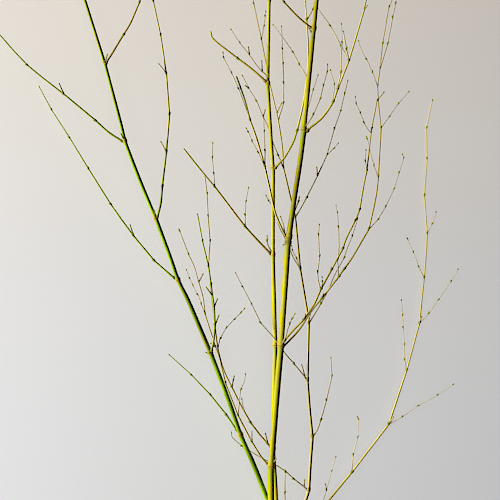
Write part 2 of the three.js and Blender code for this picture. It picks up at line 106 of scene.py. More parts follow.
def shoot(name, parent, colour, wide, route, twigs=(), skin=None):
    """One CAD node: its diameters at the foot and tip, its route, and the twigs that are fused to it."""
    return {"name": name, "parent": parent, "colour": colour, "wide": wide, "route": route, "twigs": twigs,
            "skin": skin or colour}


CANES = [
    shoot("main_culm", None, "yellow", (12.6, 4.2), [
        at(272.5, 655, 6.17), node(271.5, 590, 26, 12), at(271.3, 580, 28, 9.6), at(271, 500),
        node(270.8, 467.5, 48, 9.1), at(276.2, 400), node(280.9, 347, 60), node(287.9, 243.6, 66),
        node(288.5, 238.2, 66, 8.3), at(294, 200, 66.3, 7.3), at(300.4, 160, 66.7, 7.2),
        node(303.8, 131, 67, 7.6), node(313.6, 29.5, 62, 6.4), node(323.5, -65.5, 56), at(331, -150, 50),
    ], [
        spur(at(271, 466), at(276.2, 459, 53)),
        twig(2, 1.2, at(281.2, 346), at(286, 336, 75), at(287.3, 330), node(289.4, 324.4, 77),
            node(291.6, 319), at(294.8, 313.8, 80)),
        twig(1.3, 0.8, at(288.1, 243), at(283.1, 245, 69)),
        twig(1.8, 1, at(304.4, 128), at(308, 123.3, 73), node(313, 115), node(320, 99.2),
            node(323.3, 85.8), node(327, 72.5), at(327.5, 64.2, 82)),
        twig(1.4, 0.8, at(304.9, 120), at(308.5, 106, 62), node(313, 90.4), at(318, 75, 60)),
        spur(at(313, 35), at(307.6, 26, 66)),
    ]),
    shoot("back_cane", "main_culm", "yellow", (7.2, 3), [
        at(271.5, 590), at(276.4, 570, 23.5, 7), node(277.5, 547, 24), at(276.2, 500, 27),
        node(272.8, 450, 31, 6.6), node(275.2, 346.5, 40, 6.3), node(272.8, 256, 44),
        node(273.1, 168.6, 46), at(269.8, 120), node(267.7, 84.4, 46, 5), node(269.1, 1, 42, 4.4),
        node(271, -78, 37), at(273, -150, 32),
    ], [
        spur(at(272.8, 254), at(268, 246, 49), node(266.7, 240.8), at(267, 235.8, 52)),
    ]),
    shoot("green_cane", "main_culm", "green", (7.6, 2.8), [
        at(271.5, 590), at(277.5, 574, 16), at(281, 552, 10.5), node(278.5, 527, 10.5, 7.4),
        at(267.4, 500, 13), at(254.3, 465.5), node(240.6, 436, 20, 6.7), at(228.5, 400),
        node(210.8, 353.6, 24, 6.6), at(188.2, 300.2), node(178.2, 281.1, 27, 5.9), at(170.8, 259),
        node(156.1, 219.1, 28, 5.6), at(139.7, 180.2), node(124.9, 141.7, 27, 5.1), at(120.6, 123),
        node(104.8, 63.1, 24, 4.3), node(81, -12, 20, 4), at(60, -80), at(46, -130, 12),
    ], [
        twig(2.6, 1.2, at(210.8, 353.6), at(205.8, 352.6, 25)),
        spur(at(156.1, 219.1), at(154.2, 210.5, 33)),
        spur(at(124.9, 141.7), at(121.2, 134, 32)),
        spur(at(104.8, 63.1), at(107.3, 54.5, 32)),
    ]),
    shoot("right_cane", "back_cane", "golden", (4.8, 1.1), [
        at(277.5, 547), at(292, 527, 24.5, 4.6), at(302, 511, 25), node(308.8, 490.8, 26), at(310.4, 462),
        node(312.5, 436.7, 33, 4.2), at(309.5, 408.5), node(307.5, 380.4, 42, 3.4),
        node(308.8, 323.3, 48), at(307.2, 311), node(300.2, 268.8, 52, 2.8), node(295.3, 216.7, 50, 2.5),
        at(291.7, 202), node(283.5, 167.9, 45, 1.9), at(282.5, 146.7), at(278.3, 120, 41),
        node(269.6, 83, 37, 1.5), node(261.3, 39.2, 35), node(253.8, 4.2), at(249, -28), at(245, -55, 30),
    ], [
        twig(1.9, 1, at(292, 527), at(285.6, 512, 28), at(285, 500), node(284.8, 493.3),
            at(285.1, 472, 36)),
        twig(2, 1.1, at(312.5, 436.7), at(317, 430.8, 35), node(320.6, 420.3), node(326.2, 400.7),
            node(331.8, 376.4), at(330.8, 357.5, 44)),
        spur(at(308.4, 321), at(310.8, 311.5, 54)),
        twig(1.7, 1, at(300.2, 268.8), at(293.3, 258.3, 50), at(285.8, 240, 46), at(279.6, 228.3, 41),
            at(272.5, 205, 37), node(268.8, 201.3), at(266, 195.5, 35)),
        twig(1.3, 0.9, at(300.2, 268.8), node(296.7, 258.8, 56), node(292.5, 250.8, 55),
            at(291.5, 245.8, 55)),
        spur(at(294, 212), node(298.3, 202, 51), at(299.3, 197, 52)),
        twig(1.6, 0.9, at(278.3, 120), node(283.3, 103.5, 43), node(283.6, 83.3), node(283, 64.2),
            node(282.3, 49.2), at(281.7, 30.8), at(281.5, 26.3, 44)),
        spur(at(276.5, 113), at(281.3, 103.3, 46)),
        twig(1.2, 0.8, at(261.3, 39.2), node(263.8, 26.7, 35), node(265, 16.7), at(265.7, 11.3, 36)),
    ]),
    shoot("low_branch", "main_culm", "golden", (3.6, 0.8), [
        at(271.5, 590), at(284.5, 570, 22, 3.4), at(299, 541, 17), node(313, 519.5, 13, 3.2),
        at(330.1, 498.5), node(351.7, 472.2, 8), at(369.8, 448.6), node(388.8, 424.2, 5.5, 2.7),
        node(406.7, 370, 4.5, 2.2), node(419.4, 323.3, 4), node(424.1, 277.5, 3.6, 1.7), at(426.1, 255),
        node(427.2, 233.3, 3.2), node(424.3, 195.4, 2.6, 1.3), node(427, 159, 2), node(426.4, 128),
        at(432.5, 100, 0.7),
    ], [
        twig(1.2, 0.8, at(313, 519.5), at(323.3, 500, 15), node(326.3, 490.8), node(331.3, 471.3),
            at(335.8, 456.7, 19)),
        spur(at(326.3, 490.8, 15.6), at(325.4, 484.2, 18)),
        twig(1.4, 0.9, at(351.7, 472.2), node(353, 455, 11), node(357.5, 437.5), node(358.8, 419.6),
            at(357.5, 416.7, 16)),
        twig(1.2, 0.8, at(388.8, 424.2), node(401.7, 417, 7), node(417.5, 405.8), node(437, 395.4),
            at(453.2, 384.3, 12)),
        spur(at(388.8, 424.2), at(393.3, 417, 9)),
        twig(1.2, 0.8, at(406.7, 370), node(404.6, 360, 7), node(404.2, 345), node(403.1, 328),
            node(402.5, 315.4), at(401.4, 300, 13)),
        twig(1.2, 0.8, at(419.4, 323.3), node(428.3, 313.8, 6), node(438, 300), node(450.8, 281.7),
            at(458, 269.2, 12)),
        spur(at(419.4, 323.3), at(421.5, 316.5, 8)),
        twig(1.1, 0.8, at(424.1, 277.5), node(418.8, 267, 6), node(413.3, 252.5), node(407.9, 239.6),
            at(407, 238, 10)),
        twig(1, 0.8, at(427.2, 233.3), node(432, 224.2, 5), at(436, 212, 7)),
    ]),
]

MAIN_BRANCHES = [
    shoot("main_left_branch_1", "main_culm", "brown", (2.6, 1.1), [
        at(270.8, 467.5), at(261.3, 457.5, 47), node(251.7, 441.7, 44), node(237.9, 415.4, 38),
        node(225.4, 383.3, 33), at(219.2, 356.7, 31), node(215.5, 347, 30), node(205, 314, 28),
        at(203.3, 297.5), node(198.6, 282), at(194.2, 265.8), node(188.6, 254.7), node(180, 231.7),
        at(179, 229.2, 27),
    ], [
        spur(at(251.7, 441.7), at(251.7, 431.7, 47)),
        spur(at(215.5, 347), at(210.8, 343.5, 29)),
        spur(at(198.6, 282), at(202.9, 274.2, 30)),
        twig(1.1, 0.8, at(205, 314), node(201.2, 304.2, 32), node(197.9, 295), node(192.9, 285.8),
            node(189.8, 278.8), at(186.2, 269.6, 35)),
        twig(1.6, 1, at(237.9, 415.4), at(239.6, 397.5, 41), node(240.4, 390, 42), at(244.6, 380.8),
            at(245.4, 374, 44)),
    ]),
    shoot("main_right_branch_2a", "main_culm", "golden", (3.1, 1.2), [
        at(280.9, 347), at(284.8, 339.8, 62.5), at(294, 329.2, 66), node(303.6, 319.8, 70),
        at(315, 303.3), node(320.8, 289.2, 74), node(331.3, 270), node(342.5, 249.2, 80), at(345.8, 239),
        node(355, 221), node(359.6, 210, 85), at(364.2, 182.5), node(366.9, 171), at(369.4, 147),
        node(371.6, 129, 94), node(377, 100.8), at(383.8, 92.3, 99),
    ], [
        spur(at(303.6, 319.8), at(305.3, 314.4, 74)),
        twig(1.6, 0.9, at(320.8, 289.2), at(318.3, 282, 77), node(317.5, 272.5), node(319.6, 256.7),
            node(318.4, 235.3), at(319.2, 224.6, 84)),
        twig(1.2, 0.8, at(320.8, 289.2), node(322.5, 282, 79), at(322, 277, 81)),
        spur(at(355, 221), at(357.8, 217.6, 84)),
        twig(1.3, 0.8, at(366.9, 171), node(365.2, 161.7, 92), at(365.8, 150, 95)),
        twig(1.3, 0.8, at(371.3, 133), at(368, 130, 95), node(364.2, 123.3), node(360.4, 113.3),
            node(356.3, 104.2), at(355.3, 96.7, 100)),
    ]),
    shoot("main_right_branch_2b", "main_culm", "brown", (2.9, 0.9), [
        at(280.9, 347), at(285.4, 344.6, 57), at(299, 330.4, 57), at(311.7, 310), node(321.3, 298.8, 59),
        node(338.8, 276.7, 62), node(343.8, 269.2), at(350.8, 260), node(368.8, 229.2, 67),
        at(373.3, 210), at(377, 190.8), node(378.2, 176.7, 72), node(381, 127.9, 77), at(378.3, 103.3),
        node(377.5, 86, 82), node(380, 68.3, 84), node(382.5, 43.8), node(388.8, 7.5, 90), at(392, 0),
        at(399, -35, 94),
    ], [
        spur(at(321.3, 298.8), at(323.3, 293.6, 62)),
        twig(1.7, 0.9, at(338.8, 276.7), node(337.3, 260, 64), at(339, 250), node(338.5, 227.5),
            node(337.3, 213), at(335.8, 205.4, 70)),
        twig(1.4, 0.8, at(368.8, 229.2), node(377.5, 220, 70), node(385.4, 207), node(393.8, 189.2),
            node(398.8, 173.3), node(403.8, 158.3), at(402.3, 154.2, 80)),
        twig(1.4, 0.8, at(378.2, 176.7), node(373.8, 165.8, 73), at(370, 151.7), node(367.5, 139.6),
            at(366.5, 136.7, 76)),
        twig(1.2, 0.8, at(381, 127.9), node(388.8, 117, 80), node(397.9, 104.2), at(408.8, 91.7, 86)),
        twig(1.3, 0.8, at(377.5, 86), node(372.5, 72.5, 84), node(366.7, 59.6), at(360.8, 49),
            at(358.3, 40.8, 88)),
        twig(1.7, 0.9, at(380, 68.3), at(383.2, 58, 87), node(387.5, 43.8), node(392.5, 17.9, 94),
            node(395.4, 3.8), at(398, -42, 101)),
    ]),
    shoot("main_left_branch_3", "main_culm", "yellow", (2.8, 2.2), [
        at(288.2, 240.5), at(281.7, 228.5, 69), at(275, 213.3), at(272, 199), node(264.8, 166.7, 74),
        at(256.7, 138.3), node(250, 120, 78), at(245, 100), at(236.7, 77, 82),
    ], [
        twig(1.8, 1.3, at(284.6, 233.5), at(283.7, 226), at(280.6, 216.8, 73)),
        twig(1.4, 0.9, at(264.8, 166.7), node(265.1, 151.3, 76), node(264.1, 131.7), at(263.6, 118, 80)),
        twig(1.5, 0.9, at(264.8, 166.7), at(261.2, 159.6, 77), node(258.6, 152.9), node(252, 141.4),
            node(248.6, 132.5), at(246.1, 128, 82)),
        twig(1.5, 0.9, at(250, 120), node(238.8, 89.2, 82), node(231.7, 73.3), node(223.8, 58.3),
            at(222.9, 52.5, 86)),
    ], skin="golden"),
    shoot("main_right_branch_4", "main_culm", "golden", (3.4, 1.4), [
        at(303.9, 133.6), at(307, 131, 67.4, 4.3), at(310, 127.5, 67.7, 3.5), at(315, 124, 68),
        at(321.7, 118.3), at(327.5, 110.8, 69), node(333, 102), node(337.5, 89, 70),
        node(348.8, 60.8, 73, 2.3), at(356.7, 35), node(364.6, 8.3, 76), node(371, -32), at(375, -70),
        at(377, -100, 82),
    ], [
        twig(1.9, 1, at(348.8, 60.8), node(341.3, 46.7, 68), node(330.5, 26, 60), at(318.3, 9.2, 52),
            at(314.6, 3, 50)),
        spur(at(348.8, 60.8), node(346.3, 49.2, 77), at(343, 31.3, 80)),
        twig(1.9, 1, at(337.5, 89), node(340.8, 72.5, 75), at(340.8, 58.3), node(342, 43),
            at(341.3, 23.8, 84)),
        twig(1.5, 0.9, at(333, 102), node(334.2, 84.5, 73), at(330.4, 70, 76)),
        spur(at(364.6, 8.3), at(367.4, 5.4, 79)),
    ]),
    shoot("main_left_branch_5", "main_culm", "yellow", (3, 1.2), [
        at(313.5, 29.5), at(299.3, 18.6, 64), node(284.4, 2.6, 65), at(269.6, -21.6),
        at(261.8, -51.8, 68),
    ], skin="brown"),
]

BACK_BRANCHES = [
    shoot("back_left_branch_0", "back_cane", "brown", (2.6, 1.1), [
        at(272.8, 450), node(267.6, 443.6, 33), at(260, 435), node(250.8, 423, 31), at(240, 404),
        node(231.7, 387, 27.5), at(223.3, 370, 26), at(217.7, 349, 25), at(215.1, 327.5, 26),
        node(208.3, 266, 30), node(210, 241.4), node(208.1, 216.5), node(207.1, 193.8),
        at(205, 176.7, 34),
    ], [
        spur(at(267.6, 443.6), at(265.4, 433.3, 36)),
        twig(1.2, 0.8, at(245, 413), at(243, 406.5, 32), at(241.7, 398.8, 33)),
        spur(at(231.7, 387), at(234.2, 376.2, 30)),
        twig(1.3, 0.8, at(217.7, 349), node(220, 338.8, 26), node(225.8, 328.3), node(233.8, 319.6),
            node(240.4, 313.3), at(244.6, 308.5, 32)),
    ]),
    shoot("back_left_branch_2", "back_cane", "brown", (3.4, 2), [
        at(272.8, 256), at(257, 240, 48), node(245.2, 226.9), node(214.6, 186.7, 54), at(200, 169.2),
        at(184.2, 149.2, 60),
    ], [
        twig(1.4, 0.9, at(245.2, 226.9), node(245, 215.5, 52), node(245.7, 202), at(248.4, 187.5, 57)),
        twig(1.4, 0.9, at(214.6, 186.7), node(213.8, 174.2, 57), node(212.1, 158), at(212.7, 143, 62)),
    ]),
    shoot("back_right_branch_3", "back_cane", "brown", (3.4, 1.6), [
        at(273.3, 170.3), at(276, 166.8, 48.5, 3.6), at(279.2, 163.3, 50, 3), at(284.2, 158.3, 51.5),
        at(293.3, 142.5, 53), node(296.9, 131), at(303.5, 103, 53), node(307.2, 77, 53),
        at(308.6, 50, 52), node(306.5, 20, 51), at(303, -30), at(300, -62, 49),
    ], [
        twig(1.6, 0.9, at(307.2, 77), node(299.2, 64.6, 54), node(293.3, 52.5), at(282.9, 37.5),
            at(272.9, 24.8, 56)),
        spur(at(306.5, 20), node(312.5, 10, 50), at(314.4, 4, 50)),
    ], skin="golden"),
    shoot("back_left_branch_4", "back_cane", "brown", (3.3, 2.2), [
        at(267.7, 83.5), at(260, 76.2, 48), at(250, 67.5), node(238, 58.7, 50), at(217.5, 43),
        at(211.7, 37.5), at(210.8, 32, 56),
    ]),
    shoot("back_left_twig_4", "back_cane", "tan", (1.7, 0.9), [
        at(267.7, 83.5), at(267, 75.5, 51), node(262, 71.5, 52), at(256.7, 65.8), node(249.2, 54.6),
        node(240, 43.3), at(230.8, 29.2, 59),
    ], [
        spur(at(262, 71.5), at(261.6, 61, 56)),
        spur(at(249.2, 54.6), at(248.3, 47.2, 58)),
    ]),
]

GREEN_BRANCHES = [
    shoot("green_left_branch_1", "green_cane", "green", (2.9, 1.1), [
        at(240.6, 436), node(226.7, 415.4, 19), node(210.8, 395.4), node(191.7, 375.2),
        at(169.2, 354.8, 13),
    ], skin="olive"),
    shoot("green_right_branch_2", "green_cane", "green", (3.2, 1.4), [
        at(210.8, 353.6), at(213.8, 340, 37), node(215, 325, 39), node(214, 306.7), node(211, 285),
        node(208.6, 267), node(202.5, 241.4), at(197.5, 214.2, 47),
    ], [
        spur(at(215, 325), at(218.8, 315.4, 41)),
        spur(at(214, 306.7), at(217.3, 299.2, 42)),
        spur(at(212.6, 296), at(206.2, 287.3, 43)),
    ], skin="olive"),
    shoot("green_left_branch_3", "green_cane", "green", (3, 1.2), [
        at(178.2, 281.1), at(169.7, 274.4, 25), node(154.3, 261, 22), node(133.5, 236), at(119.7, 217.2),
        node(111, 204.8), node(88.5, 169), node(69.7, 138.1), node(51.7, 110.2), at(38.9, 86.5, 3),
    ], [
        spur(at(133.5, 236), at(130, 224.6, 22)),
    ], skin="olive"),
    shoot("green_right_branch_4", "green_cane", "golden", (3.1, 1.2), [
        at(156.3, 220.6), at(158.8, 212, 30), at(161, 203), node(162.1, 187, 32), node(166.3, 152),
        node(169.4, 114.8), node(166.3, 73.8, 36), node(160.6, 35.4), node(153.4, 1.7), at(146.6, -32),
        at(141, -62, 40),
    ], [
        spur(at(166.3, 152), at(160.8, 141.8, 36)),
        spur(at(166.3, 73.8), at(158.8, 63.8, 39)),
    ]),
    shoot("green_left_branch_5", "green_cane", "green", (3, 1.2), [
        at(125.1, 143.2), at(120, 139.8, 26), at(108.3, 132.5, 24), node(95.8, 120.8, 22),
        node(63.8, 94.2), at(40, 75.8), node(27.3, 65.2, 13), at(15, 52.5), at(0, 35), node(-22, 12),
        at(-55, -18, 0.7),
    ], [
        spur(at(63.8, 94.2), at(59.3, 83.8, 22)),
    ], skin="olive"),
    shoot("green_right_branch_6", "green_cane", "brown", (3, 1.2), [
        at(105.1, 66.6), at(107.6, 60.1, 24.5), at(110.5, 56), node(122.9, 35.4, 26), at(130, 24.5),
        node(139.2, 2.9), at(152, -28), at(163, -58, 33),
    ]),
]

RIGHT_TWIGS = [
    shoot("right_twig_low", "right_cane", "tan", (2.4, 1.2), [
        at(308.8, 490.8), node(294, 479.3, 24), node(286, 471.9, 23), at(275.6, 464.8, 21),
        at(261.8, 458.6, 16.5), at(249.7, 451.1, 12.5), node(242.2, 446.4, 11.5), at(231.7, 437.5),
        at(231.2, 432.3, 9),
    ], [
        spur(at(303.8, 486.7), at(304.6, 480, 28)),
    ]),
    shoot("right_twig_crossing", "right_cane", "tan", (2.2, 1), [
        at(307.5, 380.4), node(294.2, 364.2, 45), at(283.3, 351.7, 49), at(276.7, 341, 50),
        node(260.8, 323.3, 51), node(251.7, 304.6), node(242.9, 287.3), at(235.4, 272.9, 56),
    ], [
        spur(at(305, 377.4), at(301.7, 364.8, 46)),
    ]),
    shoot("right_twig_middle", "right_cane", "tan", (2, 1), [
        at(308.8, 323.3), at(315, 313.3, 48), node(320.4, 304.2, 49), at(327.5, 291.7), at(335, 273.3),
        node(343.8, 258.3), at(346.5, 250), node(352, 236.7), at(357.5, 218.8, 56),
    ]),
    shoot("right_twig_upper", "right_cane", "tan", (2, 1), [
        at(295.3, 216.7), at(298.6, 211.9, 51), node(306.1, 198.2, 52), node(317.3, 176),
        node(326.8, 155.2), node(334.1, 129.4), node(340.3, 111.4), node(344.5, 94.3),
        at(347.8, 80.5, 60),
    ], [
        spur(at(317.3, 176), at(316.7, 167.5, 57)),
        twig(1.2, 0.8, at(326.8, 155.2), node(333.3, 148.8, 58), at(338.2, 143.3, 60)),
    ]),
    shoot("right_twig_top", "right_cane", "tan", (1.9, 1), [
        at(283.5, 167.9), node(278.3, 155.8, 42), at(273.3, 144.2, 39), at(268.8, 128.3, 37),
        node(262.9, 116.7), node(256.7, 101.3), node(248.8, 88.3), at(242.3, 75.4, 35),
    ], [
        spur(at(262.9, 116.7), at(265, 110.2, 40)),
        spur(at(248.8, 88.3), at(245, 85.4, 39)),
    ]),
]

# Where a shoot's skin is painted darker: partly painted shade, at branch feet and on stretches that lie in
# shade, and partly the shoot's own darker tone. Plan x and y, reach in plan units, strength.
SHADE_AND_TONE_PATCHES = {
    "main_culm": [(280, 400, 900, 0.2), (297, 185, 62, 0.78), (288.2, 241, 6, 0.72), (311, 55, 50, 0.55),
        (314, 10, 25, 0.45)],
    "back_cane": [(269, 242, 5, 0.4), (271, 120, 60, 0.16), (268, 84, 26, 0.34)],
    "green_cane": [(202, 330, 45, 0.42), (190, 300, 22, 0.55), (254, 466, 22, 0.35)],
    "right_cane": [(300, 300, 900, 0.28), (310, 405, 45, 0.52), (298, 265, 60, 0.76),
        (292, 205, 45, 0.86), (285, 492, 17, 0.75)],
    "low_branch": [(326, 503, 20, 0.52), (353, 471, 3, 0.25), (389.5, 423, 3, 0.3)],
    "main_right_branch_2a": [(330, 250, 900, 0.4)],
    "main_left_branch_3": [(280, 220, 900, 0.32), (284.5, 233, 9, 0.72)],
    "main_right_branch_4": [(330, 60, 900, 0.22), (307, 131.5, 4.5, 0.92), (313, 126, 7, 0.5),
        (327, 20, 17, 0.7), (340, 47, 8, 0.6)],
    "main_left_branch_5": [(280, 20, 900, 0.3)],
    "back_left_branch_0": [(255, 430, 35, 0.4), (216, 340, 40, 0.5)],
    "back_right_branch_3": [(275.5, 168.5, 4.5, 0.95), (281, 161.5, 10, 0.68), (287, 45, 20, 0.75)],
    "green_right_branch_4": [(165, 100, 900, 0.35), (160, 203, 14, 0.7)],
    "green_left_branch_5": [(60, 90, 900, 0.25)],
}
# The same for where a yellow skin is flushed green.
GREEN_FLUSHES = (
    (277, 395, 42, 0.15), (303, 140, 20, 0.5), (273, 470, 18, 0.35), (243, 90, 16, 1), (160, 190, 34, 1.7),
    (212, 36, 9, 0.9), (292, 214, 15, 0.35),
)
# The same for where the green cane and its branches turn yellow.
YELLOW_FLUSHES = (
    (203, 335, 17, 0.3), (205, 342, 9, 0.8), (190, 305, 16, 0.2), (238, 425, 16, 0.1), (207, 353.5, 3.5, 1),
    (182, 289, 5, 1), (157, 213, 9, 0.55), (124.9, 141.7, 3, 1), (97, 35, 34, 0.55), (112, 95, 30, 0.3),
)

SHOOTS = CANES + MAIN_BRANCHES + BACK_BRANCHES + GREEN_BRANCHES + RIGHT_TWIGS

# Offsets of the rows of vertices round a node, in node spans, and from a foot, in radii.
NODE_ROWS = (
    -7, -4, -2.4, -1.5, -0.9, -0.55, -0.33, -0.16, 0, 0.16, 0.33, 0.5, 0.75, 1.1, 1.5, 2, 2.8, 4.2, 7,
)
FOOT_ROWS = (-1, -0.5, 0, 0.4, 0.8, 1.2, 1.6, 2, 2.4, 2.8, 3.3, 4, 5)
# Rows of the rounded tip: distance from the end, in radii, and share of the radius.
TIP_ROWS = ((0, 0.28), (0.14, 0.62), (0.4, 0.86), (0.8, 0.97), (1.5, 1))
LONGEST_ROW = 9 * MM
SHORTEST_ROW = 0.035 * MM

# A node's span is a share of its diameter and a fixed length in mm. FAR means that there is no node or foot.
SPAN_PER_WIDE = 0.3
SPAN_LEAST = 0.75
FAR = 40.0

# A bend reaches this many diameters to each side of a node, and this share of the stretch anywhere else.
NODE_BEND = 1.6
SOFT_BEND = 0.45
BEND_STEPS = 8

# Below this slope to its parent, a shoot's foot doesn't move further out.
LEAST_SLOPE = 0.35
# A branch belongs to the node that it starts this near to. Its groove takes up this share of the internode.
NODE_REACH = 4 * MM
GROOVE_REACH = 0.75
# The foot of a branch is painted this much darker, over this length: partly painted shade where it meets its
# parent, partly its own dark sheath remnants.
FOOT_SHADE_AND_SHEATH = 0.5
FOOT_SHADE_AND_SHEATH_REACH = 7 * MM
# The grain of each shoot starts elsewhere: metres for each step of its seed, and the step between twigs.
GRAIN_STEP = 0.37
TWIG_STEP = 0.1

# Buds of a twig and of a thicker shoot: least length in mm, and what each mm of the diameter adds.
SLIM_BUD = (2.2, 0.55)
STOUT_BUD = (2.4, 0.25)
# A bud stands above its node, in spans, and out of the skin, in radii, and leans outwards and up.
BUD_ABOVE = 0.7
BUD_OUT = 0.8
BUD_LEAN = 0.35
# The bud at a tip: its length, its greatest share of a short shoot, and the share of it that is sunk in.
TIP_BUD = 3.1 * MM
SHORT_TIP_BUD = 0.35
BUD_SUNK = 0.45
# A node this near the tip has no bud of its own.
BUD_FREE_TIP = 3 * MM


def between(a, b, share):
    return a * (1 - share) + b * share


def running(points, distance):
    """Lengths along a chain from its first point to each one."""
    runs = [0.0]
    for a, b in zip(points, points[1:]):
        runs.append(runs[-1] + distance(a, b))
    return runs


def stretch(marks, run):
    """Which stretch between two marks a run falls in, by the number of its end, and the share of it."""
    i = next((i for i in range(1, len(marks)) if run <= marks[i]), len(marks) - 1)
    step = marks[i] - marks[i - 1]
    return i, (run - marks[i - 1]) / step if step else 0.0


def place(point):
    """Plan point and height to metres, with the eye's perspective taken out."""
    scale = PLAN_UNIT * (EYE_HEIGHT - point["z"]) / (EYE_HEIGHT - PLAN_LEVEL)
    x, y = (point["x"] - EYE_X) * scale - ORIGIN_X, (EYE_Y - point["y"]) * scale - ORIGIN_Y
    return Vector((x, y, point["z"])) * MM


def plan(point):
    """The same the other way: plan x and y of a place."""
    scale = PLAN_UNIT * MM * (EYE_HEIGHT - point.z / MM) / (EYE_HEIGHT - PLAN_LEVEL)
    return (point.x + ORIGIN_X * MM) / scale + EYE_X, EYE_Y - (point.y + ORIGIN_Y * MM) / scale


def fill(route, runs, key):
    """Fills in what a route leaves open, straight from one stated value to the next."""
    start = 0
    for end in range(1, len(route)):
        if route[end][key] is None:
            continue
        for i in range(start + 1, end):
            share = (runs[i] - runs[start]) / (runs[end] - runs[start])
            route[i][key] = between(route[start][key], route[end][key], share)
        start = end


def strongest(patches, x, y):
    """Strength, at a plan point, of the patch that is strongest there."""
    found = 0.0
    for px, py, reach, strength in patches:
        found = max(found, strength * math.exp(-((x - px) ** 2 + (y - py) ** 2) / reach ** 2))
    return found


def nearest_on(route, x, y):
    """Segment and share of it at the place on a route nearest to a plan point."""
    best = (math.inf, 1, 0.0)
    for i in range(1, len(route)):
        a, b = route[i - 1], route[i]
        dx, dy = b["x"] - a["x"], b["y"] - a["y"]
        share = ((x - a["x"]) * dx + (y - a["y"]) * dy) / (dx * dx + dy * dy)
        share = min(max(share, 0.0), 1.0)
        distance = math.hypot(a["x"] + share * dx - x, a["y"] + share * dy - y)
        if distance < best[0]:
            best = (distance, i, share)
    return best[1], best[2]


def grown_route(spec, parent):
    """A copy of a route with every height and diameter filled in."""
    route = [dict(point) for point in spec["route"]]
    runs = running(route, lambda a, b: math.hypot(b["x"] - a["x"], b["y"] - a["y"]))
    if route[0]["z"] is None:
        i, share = nearest_on(parent, route[0]["x"], route[0]["y"])
        route[0]["z"] = between(parent[i - 1]["z"], parent[i]["z"], share)
    route[0]["wide"], route[-1]["wide"] = spec["wide"]
    fill(route, runs, "z")
    fill(route, runs, "wide")
    return route


